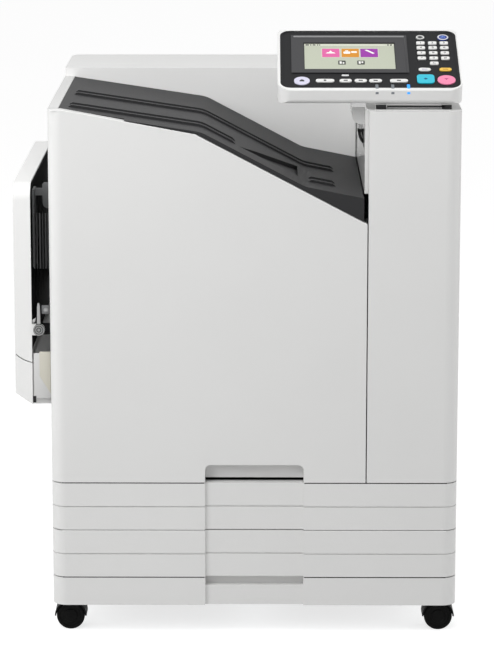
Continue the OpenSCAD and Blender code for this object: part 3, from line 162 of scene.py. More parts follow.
# Large covers: whites and pale greys that read as office equipment.
# The lighter and the greyer white are the covers' white ABS with painted light and shade.
white_abs = moulded("spark-eroded white ABS", "#DEDEDD", 0.5)  # an even matt white
# painted light: the covers' white, lightened for the top, the panel and the side unit, which face the light
lit_white_abs = moulded("spark-eroded ABS in a painted-light white", "#EBEBEA", 0.48)  # a shade lighter than the covers
# painted shade: the covers' white, darkened for the bracket under the panel and the end cover of the side unit
shaded_white_abs = moulded("spark-eroded ABS in a painted-shade grey", "#CDCDCC", 0.52)  # a quiet step down from white
sleek_abs = moulded("high-gloss white ABS", "#DCDCDB", 0.14, grain_mm=4, depth_mm=0.01)  # mirrors the deck beside it
# painted highlight: a whiter copy of the covers' ABS, for the beads along the upper edges
highlight_white_abs = moulded("white ABS edge with a painted highlight", "#F3F3F2", 0.3, depth_mm=0.01)  # draws a bright line
cream_abs = moulded("moulded cream ABS", "#C6C3B7", 0.5)  # warmer than the whites round it
# Dark parts: the deepest black is painted shade for what lies deep, and the deck keeps a soft sheen on its slopes.
deck_abs = moulded("grained charcoal ABS", "#303031", 0.52, depth_mm=0.09, specular=0.12)  # coarse, for grip
black_abs = moulded("moulded black ABS", "#141415", 0.5, specular=0.25)  # plain black
# painted shade: a black below the plain black, for the feeder and tray bed inside and the strips in the gaps
shade_black_abs = moulded("black ABS deepened as painted shade", "#0B0B0C", 0.6, specular=0.1)  # as dark as an open gap
rib_abs = moulded("moulded graphite ABS", "#222223", 0.4, specular=0.3)  # shows just above the black
hub_base_abs = moulded("moulded dark grey ABS", "#2E2E2F", 0.5, specular=0.3)  # sets the rings of the hub off
caster_abs = moulded("moulded black nylon", "#0A0A0B", 0.55, specular=0.12)  # tough, with hardly any shine
# Working parts: greys, and one green that says where a hand may go.
grey_abs = moulded("moulded mid-grey ABS", "#6F7071", 0.5)  # reads as an inside part
hub_abs = moulded("moulded stone-grey ABS", "#8C8D8C", 0.42)  # stands out from a dark opening
light_grey_abs = moulded("moulded light grey ABS", "#A9AAA9", 0.5)  # a small light spot in the dark
head_abs = moulded("moulded light grey PBT", "#B9BAB9", 0.5)  # stiff and clean, as in a print engine
lever_abs = moulded("moulded green ABS", "#2F8F58", 0.4)  # says pull here
print("grain drawn at", GRAIN_MM, "mm, colour drift over", DRIFT_MM, "mm")

# %% [markdown]
# The fascia is a dark polycarbonate film with a fine satin face, and the frame round the screen is a moulding
# in a slightly lighter grey, so the screen seems to lie in a shallow tray. Keys are silicone caps under a clear
# lacquer, so they have a soft sheen with a thin coat over it, and their colours stay clean on the dark film.

# %% Fascia film and keys
SATIN = {"grain_mm": 0.9, "depth_mm": 0.02}
KEY_COAT = 0.15
film_pc = moulded("satin charcoal polycarbonate film", "#1A1A1C", 0.5, specular=0.12, **SATIN)  # calm and dark
frame_pc = moulded("satin graphite polycarbonate", "#3C3C3E", 0.45, specular=0.2, **SATIN)  # a step lighter
# painted highlight: a light grey for the frame's upper bead, where light catches its edge
highlight_grey_pc = moulded("grey polycarbonate lightened as a painted highlight", "#8A8A8B", 0.35, specular=0.4, **SATIN)  # a silver line


def lacquered(name, colour):
    """A silicone key cap with a thin clear coat, which gives its colour a soft wet sheen."""
    return moulded(name, colour, 0.38, grain_mm=1.2, depth_mm=0.015, coat=KEY_COAT, specular=0.4)


white_key = lacquered("lacquered white key", "#EDEDEB")
grey_key = lacquered("lacquered grey key", "#8E8F90")
lilac_key = lacquered("lacquered pale lilac key", "#DAD8EC")
blue_key = lacquered("lacquered navy key", "#1C3490")
yellow_key = lacquered("lacquered amber key", "#F6C84A")
cyan_key = lacquered("lacquered cyan key", "#10C2DA")
pink_key = lacquered("lacquered rose key", "#F98BB2")
print("keys have a coat of", KEY_COAT)

# %% [markdown]
# Signs on the keys are screen-printed ink, a few hundredths of a millimetre thick and slightly uneven. A mask in
# the key's own finish could draw them, but thin raised pieces have crisp edges from near too.

# %% Printed ink
SPECKLE_MM = 0.8


def printed(name, colour):
    """Matt ink whose tone wavers a little, so it lies on a key and not in it."""
    finish, tree, surface, place = new_finish(name, Roughness=0.55, Specular_IOR_Level=0.3)
    speckle = add_node(tree, "ShaderNodeTexNoise", Vector=place, Scale=1 / (SPECKLE_MM * MM), Detail=1.0)
    tone = add_node(tree, "ShaderNodeMix", COLOURS, Factor=speckle.outputs["Fac"],
                    i6=linear(colour), i7=linear(colour, 0.85))
    tree.links.new(tone.outputs[2], surface.inputs["Base Color"])
    return finish


dark_print = printed("dark grey print", "#3C3C40")
white_print = printed("white print", "#E8E8E6")
teal_print = printed("dark blue print", "#0B5F86")
wine_print = printed("dark rose print", "#B8487A")
lilac_print = printed("pale violet print", "#B7B0C6")
amber_print = printed("brown print", "#B98228")
pale_blue_print = printed("pale blue print", "#7FA6F2")
print("specks in the print:", SPECKLE_MM, "mm")

# %% [markdown]
# The touch screen is a liquid-crystal panel behind a hard film. It is dark when off, so what it shows is made
# as thin pictures that glow a little, and they lie on it.

# %% Screen
UNEVEN_MM = 2.2
LIGHT_GLOW = 0.9


def lit(name, colour, strength):
    """A lit part of a display: its colour glows behind a smooth film, a little unevenly, as a backlight does."""
    finish, tree, surface, place = new_finish(name, Emission_Strength=strength, Roughness=0.35,
                                              Specular_IOR_Level=0.3)
    cloud = add_node(tree, "ShaderNodeTexNoise", Vector=place, Scale=1 / (UNEVEN_MM * MM), Detail=1.0)
    tone = add_node(tree, "ShaderNodeMix", COLOURS, Factor=cloud.outputs["Fac"],
                    i6=linear(colour), i7=linear(colour, 0.93))
    tree.links.new(tone.outputs[2], surface.inputs["Base Color"])
    tree.links.new(tone.outputs[2], surface.inputs["Emission Color"])
    return finish


screen_glass = moulded("hard-coated screen film", "#101211", 0.3, grain_mm=0.8, depth_mm=0.01, specular=0.3)
screen_pale = lit("display field", "#BABFAD", 0.1)
screen_bar = lit("display status bar", "#CFD2C2", 0.12)
screen_dark = lit("display dark tile", "#2E312D", 0.02)
screen_pink = lit("display magenta tile", "#DB5FA0", 0.1)
screen_orange = lit("display amber tile", "#D28A12", 0.1)
screen_violet = lit("display violet tile", "#93259F", 0.12)
screen_white = lit("display white sign", "#F2F2EC", 0.15)
blue_light = lit("blue light pipe", "#2E90E8", LIGHT_GLOW)
# painted light: the unlit pipes and lamp window glow faintly, though nothing lights them
grey_light = lit("light pipe with a faint painted glow", "#7D8388", 0.02)
pale_light = lit("white lamp window with a faint painted glow", "#D9DADB", 0.05)
print("display parts glow at up to", LIGHT_GLOW)

# %% [markdown]
# Frames and rails are galvanised steel sheet. The zinc froze in flat crystals about 9 mm across, and each one
# tilts the light a little differently. Screws are zinc-plated, which gives a finer and brighter pattern.

# %% Steel
CRYSTAL_MM = 9
PLATING_MM = 3


def galvanised(name, colour, crystal_mm, roughness):
    """Bare metal whose tone and gloss change from crystal to crystal."""
    finish, tree, surface, place = new_finish(name, Metallic=1.0)
    crystal = add_node(tree, "ShaderNodeTexVoronoi", {"feature": "F1"}, Vector=place, Scale=1 / (crystal_mm * MM))
    gloss = add_node(tree, "ShaderNodeMapRange", Value=crystal.outputs["Color"],
                     To_Min=roughness - 0.08, To_Max=roughness + 0.08)
    relief = add_node(tree, "ShaderNodeBump", Height=crystal.outputs["Distance"], Strength=0.15, Distance=0.05 * MM)
    tone = add_node(tree, "ShaderNodeMix", COLOURS, Factor=crystal.outputs["Color"],
                    i6=linear(colour), i7=linear(colour, 0.86))
    tree.links.new(tone.outputs[2], surface.inputs["Base Color"])
    tree.links.new(gloss.outputs["Result"], surface.inputs["Roughness"])
    tree.links.new(relief.outputs["Normal"], surface.inputs["Normal"])
    return finish


zinc_steel = galvanised("galvanised steel sheet", "#B4B8BA", CRYSTAL_MM, 0.42)  # a dull, patchy silver
screw_steel = galvanised("zinc-plated screw steel", "#C2C4C6", PLATING_MM, 0.3)  # a bright point on a cover
print("crystals of", CRYSTAL_MM, "mm")

# %% [markdown]
# Rollers and tyres are rubber: nearly black, matt, with a dusty bloom that gathers in patches. One noise gives the
# bloom both its tone and its slight height. The transfer belt is a carbon-filled film, so it is smoother.

# %% Rubber


def rubber(name, colour, dusty, patch_mm, roughness=0.72, specular=0.2):
    """Dark matt rubber with patches of bloom, which make it look used and soft."""
    finish, tree, surface, place = new_finish(name, Roughness=roughness, Specular_IOR_Level=specular)
    bloom = add_node(tree, "ShaderNodeTexNoise", Vector=place, Scale=1 / (patch_mm * MM), Detail=4.0)
    patch = add_node(tree, "ShaderNodeMapRange", Value=bloom.outputs["Fac"], From_Min=0.35, From_Max=0.75)
    relief = add_node(tree, "ShaderNodeBump", Height=bloom.outputs["Fac"], Strength=0.3, Distance=0.1 * MM)
    tone = add_node(tree, "ShaderNodeMix", COLOURS, Factor=patch.outputs["Result"],
                    i6=linear(colour), i7=linear(dusty))
    tree.links.new(tone.outputs[2], surface.inputs["Base Color"])
    tree.links.new(relief.outputs["Normal"], surface.inputs["Normal"])
    return finish


roller_rubber = rubber("pick-up roller rubber", "#2E2E2F", "#474746", 8)  # grey with paper dust
tread_rubber = rubber("caster tread", "#090909", "#141413", 12, specular=0.1)  # clean and nearly black
belt_film = rubber("conductive belt film", "#26262A", "#303034", 20, 0.35, 0.5)  # a smooth dark sheen
print("rubbers:", roller_rubber.name, "and", tread_rubber.name)

# %% [markdown]
# Each ink cartridge is blow-moulded polyethylene in the colour of its ink. It is waxy, so light goes a little
# way into it, which a touch of subsurface scattering gives.

# %% Ink cartridges
LIGHT_DEPTH_MM = 2


def waxy(name, colour):
    """Polyethylene: moulded plastic that light enters, so its edges look soft."""
    finish = moulded(name, colour, 0.45, grain_mm=3, depth_mm=0.08)
    surface = finish.node_tree.nodes["Principled BSDF"]
    surface.inputs["Subsurface Weight"].default_value = 0.15
    surface.inputs["Subsurface Scale"].default_value = LIGHT_DEPTH_MM * MM
    return finish


ink_finish = {
    "black": waxy("black polyethylene", "#2A2A2B"),
    "cyan": waxy("cyan polyethylene", "#239FCB"),
    "magenta": waxy("magenta polyethylene", "#C9377F"),
    "yellow": waxy("yellow polyethylene", "#E8CF2C"),
}
print("inks:", ", ".join(ink_finish))

# %% [markdown]
# The frame's nodes keep their shapes. Only the finish in each one's material slot is changed. One table of
# finishes and names shows at a glance which parts share a finish, and the last line says if one was forgotten.

# %% Finishes for the frame's nodes
CORNERS = ("front_left", "front_right", "rear_left", "rear_right")
node_finish = {
    white_abs: ["front_cover", "left_cover", "right_cover", "rear_cover", "tower_cover", "tray_front_upper",
                "tray_front_lower", "base_skirt"],
    lit_white_abs: ["top_cover", "panel_housing", "side_tray_shell", "feeder_housing"],
    sleek_abs: ["exit_cover"],
    shaded_white_abs: ["panel_bracket"],
    deck_abs: ["output_tray"],
    black_abs: ["power_inlet", "power_switch"],
    shade_black_abs: ["feeder_frame", "side_tray_bed"],
    caster_abs: [f"caster_yoke_{corner}" for corner in CORNERS],
    grey_abs: ["tray_bin_upper", "tray_bin_lower", "paper_guide_front", "paper_guide_rear"],
    head_abs: ["print_head_unit", "ink_bay"],
    lever_abs: ["jam_lever"],
    film_pc: ["panel_fascia"],
    screen_glass: ["touch_screen"],
    zinc_steel: ["base_frame", "chassis_frame", "belt_frame"],
    roller_rubber: ["feed_roller", "exit_rollers", "belt_roller"],
    belt_film: ["transfer_belt"],
    tread_rubber: [f"caster_wheel_{corner}" for corner in CORNERS],
    white_key: ["number_keys", "reset_key"] + [f"menu_key_{i}" for i in range(1, 6)],
    grey_key: ["wake_key"],
    lilac_key: ["home_key"],
    blue_key: ["power_key"],
    yellow_key: ["interrupt_key"],
    cyan_key: ["start_key"],
    pink_key: ["stop_key"],
}
for ink, finish in ink_finish.items():
    node_finish[finish] = [f"ink_cartridge_{ink}"]
finished = set()
for finish, names in node_finish.items():
    for name in names:
        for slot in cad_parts[name].material_slots:
            slot.material = finish
        finished.add(name)
print("finished nodes:", len(finished), "left over:", sorted(set(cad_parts) - finished))

# %% [markdown]
# The small pieces are meshes made here. Whatever its shape, a piece is finished in the same way: the mesh goes to
# its place, its seams are closed, its faces turned outwards and its edges kept crisp where they are sharp, and
# then it moves with one body of the machine.

# %% Finishing a piece
SHARP_DEG = 35
SEAM_MM = 0.01


def make_piece(bm, name, finish, body, place):
    """Puts a mesh in place, turns its faces outwards and lets it move with a body of the frame."""
    bmesh.ops.transform(bm, matrix=place, verts=bm.verts)
    bmesh.ops.remove_doubles(bm, verts=bm.verts, dist=SEAM_MM * MM)
    bmesh.ops.recalc_face_normals(bm, faces=bm.faces)
    for face in bm.faces:
        face.smooth = True
    for edge in bm.edges:
        edge.smooth = not edge.is_manifold or edge.calc_face_angle(0) < math.radians(SHARP_DEG)
    mesh = bpy.data.meshes.new(name)
    bm.to_mesh(mesh)
    bm.free()
    mesh.materials.append(finish)
    piece = bpy.data.objects.new(name, mesh)
    bpy.context.scene.collection.objects.link(piece)
    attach(piece, body)


print("edges sharper than", SHARP_DEG, "degrees stay crisp")

# %% [markdown]
# Most small pieces are plates. Each starts as a flat mesh, which is extruded to a solid, and an edge bevel softens
# its upper edge. A round corner could be drawn point by point, but a vertex bevel of a plain grid face gives it in
# one step.

# %% Plates


def raise_outline(bm, z0, z1, soft=0.0):
    """Raises a flat mesh at zero height to a closed solid from z0 to z1, in mm, with a softened upper edge."""
    raised = bmesh.ops.extrude_face_region(bm, geom=bm.faces[:])["geom"]
    top = {g for g in raised if isinstance(g, bmesh.types.BMVert)}
    bmesh.ops.translate(bm, vec=(0, 0, (z1 - z0) * MM), verts=list(top))
    bmesh.ops.translate(bm, vec=(0, 0, z0 * MM), verts=bm.verts)
    if soft:
        rim = [e for e in bm.edges if set(e.verts) <= top and any(not set(f.verts) <= top for f in e.link_faces)]
        bmesh.ops.bevel(bm, geom=rim, offset=soft * MM, affect="EDGES", segments=2, profile=0.5, material=-1)
    return bm


def plate(low, high, z0, z1, corner=0.0, soft=0.0):
    """A plate between two corners and two heights, in mm, with round corners and a softened upper edge."""
    bm = bmesh.new()
    bmesh.ops.create_grid(bm, x_segments=1, y_segments=1, size=0.5)
    bmesh.ops.scale(bm, vec=((high[0] - low[0]) * MM, (high[1] - low[1]) * MM, 1), verts=bm.verts)
    if corner:
        bmesh.ops.bevel(bm, geom=bm.verts[:], offset=corner * MM, affect="VERTICES", segments=5, profile=0.5,
                        material=-1)
    centre = Vector(((low[0] + high[0]) / 2, (low[1] + high[1]) / 2, 0)) * MM
    bmesh.ops.translate(bm, vec=centre, verts=bm.verts)
    return raise_outline(bm, z0, z1, soft)


print("plates are raised from flat faces")

# %% [markdown]
# The operation panel leans back by 22.5 degrees on its hinge. Its pieces are laid out flat, in mm from the
# middle of the hinge, x to the right and y up the slope, and one matrix leans them with it.

# %% The panel's own axes
PANEL_LEAN_DEG = 22.5
HINGE = (0, 25, 948)
FASCIA_TOP = 35.5
panel_place = Matrix.Translation(at(*HINGE)) @ Matrix.Rotation(math.radians(PANEL_LEAN_DEG), 4, "X")


def on_panel(bm, name, finish, body="operation_panel"):
    """Finishes a piece that was laid out in the panel's own axes."""
    make_piece(bm, name, finish, body, panel_place)


print("panel leans back", PANEL_LEAN_DEG, "degrees")

# %% [markdown]
# Round the screen lies a raised frame, whose upper border is a rolled bead in a lighter grey, a painted highlight.
# It could be four strips with mitred corners, but one band between two outlines has no seams inside, and each
# border still gets its own width.

# %% Frame round the screen
left, low, right, high = 85.3, 58.3, 245.3, 150.3  # the glass that is left open
out_left, out_low, out_right, out_high = 63.8, 45.8, 266.8, 178.8
FRAME_TOP = FASCIA_TOP + 1.0


def band(outer, inner, z0, z1):
    """A flat band between two outlines that have as many points, in mm."""
    bm = bmesh.new()
    outside, inside = ([bm.verts.new(Vector((x, y, 0)) * MM) for x, y in line] for line in (outer, inner))
    for i in range(len(outer)):
        bm.faces.new((outside[i - 1], outside[i], inside[i], inside[i - 1]))
    return raise_outline(bm, z0, z1)


outline = [(out_left, out_low), (out_right, out_low), (out_right, out_high), (out_left, out_high)]
opening = [(left, low), (right, low), (right, high), (left, high)]
on_panel(band(outline, opening, FRAME_TOP, FRAME_TOP + 0.4), "screen_frame", frame_pc)
bead_foot, bead_head = (out_left + 4, out_high - 8), (out_right - 4, out_high - 3)
on_panel(plate(bead_foot, bead_head, FRAME_TOP, FRAME_TOP + 1.6, 2.4, 1.4), "screen_frame_highlight_bead", highlight_grey_pc)
# painted shadow: a black strip along the top of the opening, where the frame's upper wall shades the glass
shade = plate((left, high - 0.3), (right, high + 2.6), FRAME_TOP, FRAME_TOP + 0.5)
on_panel(shade, "screen_frame_painted_shadow", black_abs)
side_foot, side_head = (out_right - 5.5, out_low + 4), (out_right - 2.5, out_high - 10)
on_panel(plate(side_foot, side_head, FRAME_TOP, FRAME_TOP + 1.0, 1.4, 0.8), "screen_frame_side_bead", frame_pc)
print("frame border on the left:", round(left - out_left, 1), "mm")

# %% [markdown]
# What the screen shows is laid on its glass in thin sheets: a pale field, a status bar and three coloured tiles.
# Real pixels can't be made one by one, so only shapes that can be told apart from a step away are cut.

# %% Picture on the screen
GLASS_TOP = 35.9
FIELD_TOP = GLASS_TOP + 0.2
TILE_TOP = FIELD_TOP + 0.15
SIGN_FOOT = TILE_TOP + 0.1
TILES = {"left": (117.5, screen_pink), "middle": (151.5, screen_orange), "right": (184.5, screen_violet)}
TILE_WIDE, TILE_HIGH = 30.5, 30.0
TILE_FOOT = 101.0
EDGE = 1.2
on_panel(plate((left + 1.5, low + 1.5), (right - 1.5, high - 10), GLASS_TOP, FIELD_TOP, 1.0), "screen_field",
         screen_pale)
on_panel(plate((left + 1.5, high - 9.5), (right - 1.5, high - 1.5), GLASS_TOP, FIELD_TOP), "screen_status_bar",
         screen_bar)
for side, (x, finish) in TILES.items():
    edge = plate((x - EDGE, TILE_FOOT - EDGE), (x + TILE_WIDE + EDGE, TILE_FOOT + TILE_HIGH + EDGE), FIELD_TOP,
                 TILE_TOP, 1.5)
    on_panel(edge, f"screen_tile_edge_{side}", screen_bar)
    tile = plate((x, TILE_FOOT), (x + TILE_WIDE, TILE_FOOT + TILE_HIGH), TILE_TOP, SIGN_FOOT, 1.0)
    on_panel(tile, f"screen_tile_{side}", finish)
print("tiles on the screen:", len(TILES))

# %% [markdown]
# Each tile carries a white sign, and under the tiles are two small dark buttons with signs of their own. A sign
# is cut out along a drawn outline, or laid together from a few small plates as one piece, which saves making a
# piece of every bar.

# %% Signs on the screen
SIGN_TOP = SIGN_FOOT + 0.1
BUTTON_SIGN_TOP = TILE_TOP + 0.1


def cut_out(points, z0, z1, soft=0.0):
    """A plate with a drawn outline between two heights, in mm."""
    bm = bmesh.new()
    bm.faces.new([bm.verts.new(Vector((x, y, 0)) * MM) for x, y in points])
    return raise_outline(bm, z0, z1, soft)


def gather(meshes):
    """Several meshes as one."""
    whole = bmesh.new()
    for bm in meshes:
        part = bpy.data.meshes.new("part")
        bm.to_mesh(part)
        bm.free()
        whole.from_mesh(part)
        bpy.data.meshes.remove(part)
    return whole


cap = [(124, 114), (141, 114), (139, 117.5), (135.5, 118.5), (132.5, 125), (129.5, 118.5), (126, 117.5)]
sheets = [plate((155, 113), (167, 121), SIGN_FOOT, SIGN_TOP, 2.0),
          plate((168.5, 116), (178.5, 122), SIGN_FOOT, SIGN_TOP, 1.5),
          plate((158, 122), (163.5, 125), SIGN_FOOT, SIGN_TOP, 1.0)]
bar = [(192, 126), (196, 127.5), (209.5, 115), (206, 112.5)]
on_panel(cut_out(cap, SIGN_FOOT, SIGN_TOP), "sign_left", screen_white)
on_panel(gather(sheets), "sign_middle", screen_white)
on_panel(cut_out(bar, SIGN_FOOT, SIGN_TOP), "sign_right", screen_white)
marks = [plate((x, high - 7.5), (x + wide, high - 3.5), FIELD_TOP, FIELD_TOP + 0.1, 0.6)
         for x, wide in ((89, 6), (97, 2.5), (101.5, 5), (109, 2.5), (113, 1.8), (232, 3), (237, 3.5))]
on_panel(gather(marks), "screen_status_marks", screen_dark)
for side, x in (("left", 145.0), ("right", 178.0)):
    on_panel(plate((x, 75), (x + 13, 89), FIELD_TOP, TILE_TOP, 1.2), f"screen_button_{side}", screen_dark)
page = [plate((147.5, 78), (151, 86), TILE_TOP, BUTTON_SIGN_TOP, 0.5),
        plate((152.5, 78), (155.5, 83), TILE_TOP, BUTTON_SIGN_TOP)]
on_panel(gather(page), "sign_button_left", screen_white)
book = [plate((180.5, 78), (184, 86), TILE_TOP, BUTTON_SIGN_TOP),
        plate((185.5, 80), (188.5, 86), TILE_TOP, BUTTON_SIGN_TOP, 0.5)]
on_panel(gather(book), "sign_button_right", screen_white)
print("marks in the status bar:", len(marks))

# %% [markdown]
# The number keys carry their numbers, which are cut from Blender's own plain typeface. Text is a curve, so it
# is turned to a mesh first, and the mesh gets its place like any other piece.

# %% Numbers on the keys
COLUMNS = (290.8, 311.6, 331.7)
ROWS = (151.6, 134.6, 116.2, 97.6)
CLEAR_KEY = (311.6, 79.6)
KEY_TOP = 37.0
NUMBER_MM = 8.5
HALF_INK = 0.05


def number(text, x, y):
    """The mesh of a printed character whose middle is at x, y on the keys."""
    curve = bpy.data.curves.new("number", "FONT")
    curve.body = text
    curve.size = NUMBER_MM * MM
    curve.align_x = "CENTER"
    curve.align_y = "CENTER"
    curve.extrude = HALF_INK * MM
    curve.resolution_u = 3
    writer = bpy.data.objects.new("number", curve)
    mesh = bpy.data.meshes.new_from_object(writer)
    bm = bmesh.new()
    bm.from_mesh(mesh)
    bmesh.ops.translate(bm, vec=Vector((x, y, KEY_TOP + HALF_INK)) * MM, verts=bm.verts)
    bpy.data.objects.remove(writer)
    bpy.data.meshes.remove(mesh)
    return bm


numbers = [number(text, COLUMNS[i % 3], ROWS[i // 3]) for i, text in enumerate("123456789*0#")]
numbers.append(number("C", *CLEAR_KEY))
on_panel(gather(numbers), "number_marks", dark_print, "number_key_caps")
print("numbers:", len(numbers))

# %% [markdown]
# The power key and the wake key have a ring printed near the edge of their caps. A ring is turned: its small
# rectangular section is spun once round its middle.

# %% Rings on the round keys
POWER = (331.1, 171.6)
WAKE = (291.1, 171.6)
MARK_TOP = KEY_TOP + 0.12
RING_IN, RING_OUT = 7.4, 9.6
RING_STEPS = 36


def ring(x, y, z0, z1, inner, outer):
    """A flat round band, spun from its rectangular section."""
    bm = bmesh.new()
    corners = [bm.verts.new(Vector((r, 0, z)) * MM) for r, z in ((inner, z0), (outer, z0), (outer, z1), (inner, z1))]
    section = [bm.edges.new((corners[i - 1], corners[i])) for i in range(4)]
    bmesh.ops.spin(bm, geom=corners + section, cent=(0, 0, 0), axis=(0, 0, 1), angle=math.tau, steps=RING_STEPS,
                   use_merge=True)
    bmesh.ops.translate(bm, vec=Vector((x, y, 0)) * MM, verts=bm.verts)
    return bm


def disc(x, y, z0, z1, radius, soft=0.0):
    """A round plate between two heights, in mm."""
    bm = bmesh.new()
    bmesh.ops.create_circle(bm, cap_ends=True, segments=32, radius=radius * MM)
    bmesh.ops.translate(bm, vec=Vector((x, y, 0)) * MM, verts=bm.verts)
    return raise_outline(bm, z0, z1, soft)


power_ring = ring(*POWER, KEY_TOP, MARK_TOP, RING_IN, RING_OUT)
on_panel(power_ring, "power_key_ring", white_print, "power_key_cap")
power_sign = [plate((POWER[0] - 0.6, POWER[1]), (POWER[0] + 0.6, POWER[1] + 4.5), KEY_TOP, MARK_TOP, 0.5),
              ring(*POWER, KEY_TOP, MARK_TOP, 3.0, 3.8)]
on_panel(gather(power_sign), "power_key_sign", pale_blue_print, "power_key_cap")
on_panel(ring(*WAKE, KEY_TOP, MARK_TOP, 5.2, 7.0), "wake_key_ring", white_print, "wake_key_cap")
on_panel(disc(*WAKE, KEY_TOP, MARK_TOP, 3.2), "wake_key_sign", dark_print, "wake_key_cap")
print("the power key's ring is", round(RING_OUT - RING_IN, 1), "mm wide")

# %% [markdown]
# The other keys carry small generic signs: a diamond for start, a triangle for stop, a small house for home, a
# dot on the first menu key and short bars on the rest. Each moves with the cap that it is printed on.

# %% Signs on the other keys
START = (294.1, 24.5)
STOP = (329.6, 21.1)
HOME = (81.3, 17.6)
MENU_X = (121.0, 156.4, 182.3, 207.7, 247.9)
MENU_Y = 18.6


def drawn(key, *steps):
    """The outline of a sign from its points' steps away from the middle of a key."""
    return [(key[0] + x, key[1] + y) for x, y in steps]


diamond = drawn(START, (0, -3.6), (3.6, 0), (0, 3.6), (-3.6, 0))
on_panel(cut_out(diamond, KEY_TOP, MARK_TOP), "start_key_sign", teal_print, "start_key_cap")
triangle = drawn(STOP, (-3.6, 4.5), (3.6, 4.5), (0, -0.5))
on_panel(cut_out(triangle, KEY_TOP, MARK_TOP), "stop_key_sign", wine_print, "stop_key_cap")
house = drawn(HOME, (-4, -3), (4, -3), (4, 1), (0, 4.5), (-4, 1))
on_panel(cut_out(house, KEY_TOP, MARK_TOP), "home_key_sign", dark_print, "home_key_cap")
for i, x in enumerate(MENU_X, 1):
    if i == 1:
        sign = disc(x, MENU_Y, KEY_TOP, MARK_TOP, 2.4)
    else:
        sign = plate((x - 3.5, MENU_Y - 1.8), (x + 3.5, MENU_Y + 1.6), KEY_TOP, MARK_TOP, 0.6)
    on_panel(sign, f"menu_key_{i}_sign", dark_print, f"menu_key_{i}_cap")
for name, x, finish, slot in (("reset", 293.8, lilac_print, "white_key"),
                              ("interrupt", 329.9, amber_print, "yellow_key")):
    sign = plate((x - 5.0, 56.4), (x + 5.0, 58.8), KEY_TOP, MARK_TOP, 0.8)
    on_panel(sign, f"{name}_key_sign", finish, f"{name}_key_cap")
print("menu keys with signs:", len(MENU_X))

# %% [markdown]
# Three light pipes run from the fascia over the rim of the panel and down its front, so that they are seen
# from across the room. Two are unlit and have only a faint painted glow, the right one shines blue. Each shows as
# three short lengths on top and one on the front, which is a plate turned upright.

# %% Status lights and lamp window
RIM_TOP = 36.0
PANEL_FRONT = -11.4
PIPE_HALF = 2.6
LIGHTS = {"left": (209.5, grey_light), "middle": (236.5, grey_light), "right": (263.5, blue_light)}
UPRIGHT = Matrix.Rotation(math.radians(90), 4, "X")


def standing(bm, y):
    """Turns a flat mesh upright, facing the front, with its foot at a depth of y, in mm."""
    bmesh.ops.transform(bm, matrix=Matrix.Translation((0, y * MM, 0)) @ UPRIGHT, verts=bm.verts)
    return bm


for side, (x, finish) in LIGHTS.items():
    x0, x1 = x - PIPE_HALF, x + PIPE_HALF
    lengths = [plate((x0, -4.2), (x1, 1.0), FASCIA_TOP, FASCIA_TOP + 0.25, 0.6),
               plate((x0, 1.6), (x1, 6.4), FASCIA_TOP, FASCIA_TOP + 0.25, 0.6),
               plate((x0, -8.4), (x1, -4.5), RIM_TOP, RIM_TOP + 0.2, 0.6)]
    on_panel(gather(lengths), f"status_light_{side}", finish)
    front = standing(plate((x0, 27.0), (x1, 31.0), 0, 0.2, 0.6), PANEL_FRONT)
    on_panel(front, f"status_light_front_{side}", finish)
window = plate((149.8, 35.4), (162.6, 40.8), FASCIA_TOP, FASCIA_TOP + 0.5, 2.4, 0.3)
on_panel(window, "data_lamp_window", pale_light)
print("status lights:", len(LIGHTS))

# %% [markdown]
# The film of the fascia laps a little over the white rim all round, so the rim looks narrow. A thin band between
# two rounded outlines shows that lap.

# %% Edge of the film
CORNER_STEPS = 6


def rounded(low_corner, high_corner, radius):
    """The outline of a rectangle with round corners, in mm."""
    (x0, y0), (x1, y1) = low_corner, high_corner
    points = []
    for turn, (x, y) in enumerate(((x1 - radius, y1 - radius), (x0 + radius, y1 - radius),
                                   (x0 + radius, y0 + radius), (x1 - radius, y0 + radius))):
        for step in range(CORNER_STEPS + 1):
            angle = math.radians(90 * turn + 90 * step / CORNER_STEPS)
            points.append((x + radius * math.cos(angle), y + radius * math.sin(angle)))
    return points


lap_outside = rounded((44.4, -5.6), (353.6, 196.4), 18.0)
lap_inside = rounded((49.0, -4.2), (349.0, 193.2), 15.0)
on_panel(band(lap_outside, lap_inside, RIM_TOP, RIM_TOP + 0.15), "fascia_edge", film_pc)
print("points round the film:", len(lap_outside))

# %% [markdown]
# Under the panel, thin black plates paint the shadow of the gap above the bracket, between the two lugs that the
# hinge pin runs through. From here on, pieces stand upright in the machine: x to the right and z up, at a depth
# behind the door's face.

# %% Painted shadow at the hinge
HINGE_SHADOW_DEPTH = 13.0
stand = Matrix.Translation(at(0, 0, 0))
HINGE_SHADOWS = (((227, 944.6), (326, 948.0)), ((208, 941.5), (225.5, 949)), ((321, 941.5), (338, 949)))
hinge_painted_shadow = gather([standing(plate(*corners, 0, 0.4), HINGE_SHADOW_DEPTH) for corners in HINGE_SHADOWS])
make_piece(hinge_painted_shadow, "hinge_painted_shadow", black_abs, "cabinet", stand)
print("dark places at the hinge:", len(HINGE_SHADOWS))

# %% [markdown]
# Where sheets come out beside the deck, two black levers feel whether the tray is full, and a white guide
# strip hangs above them. They are cut as outlines seen from the front and given a thickness along the depth.

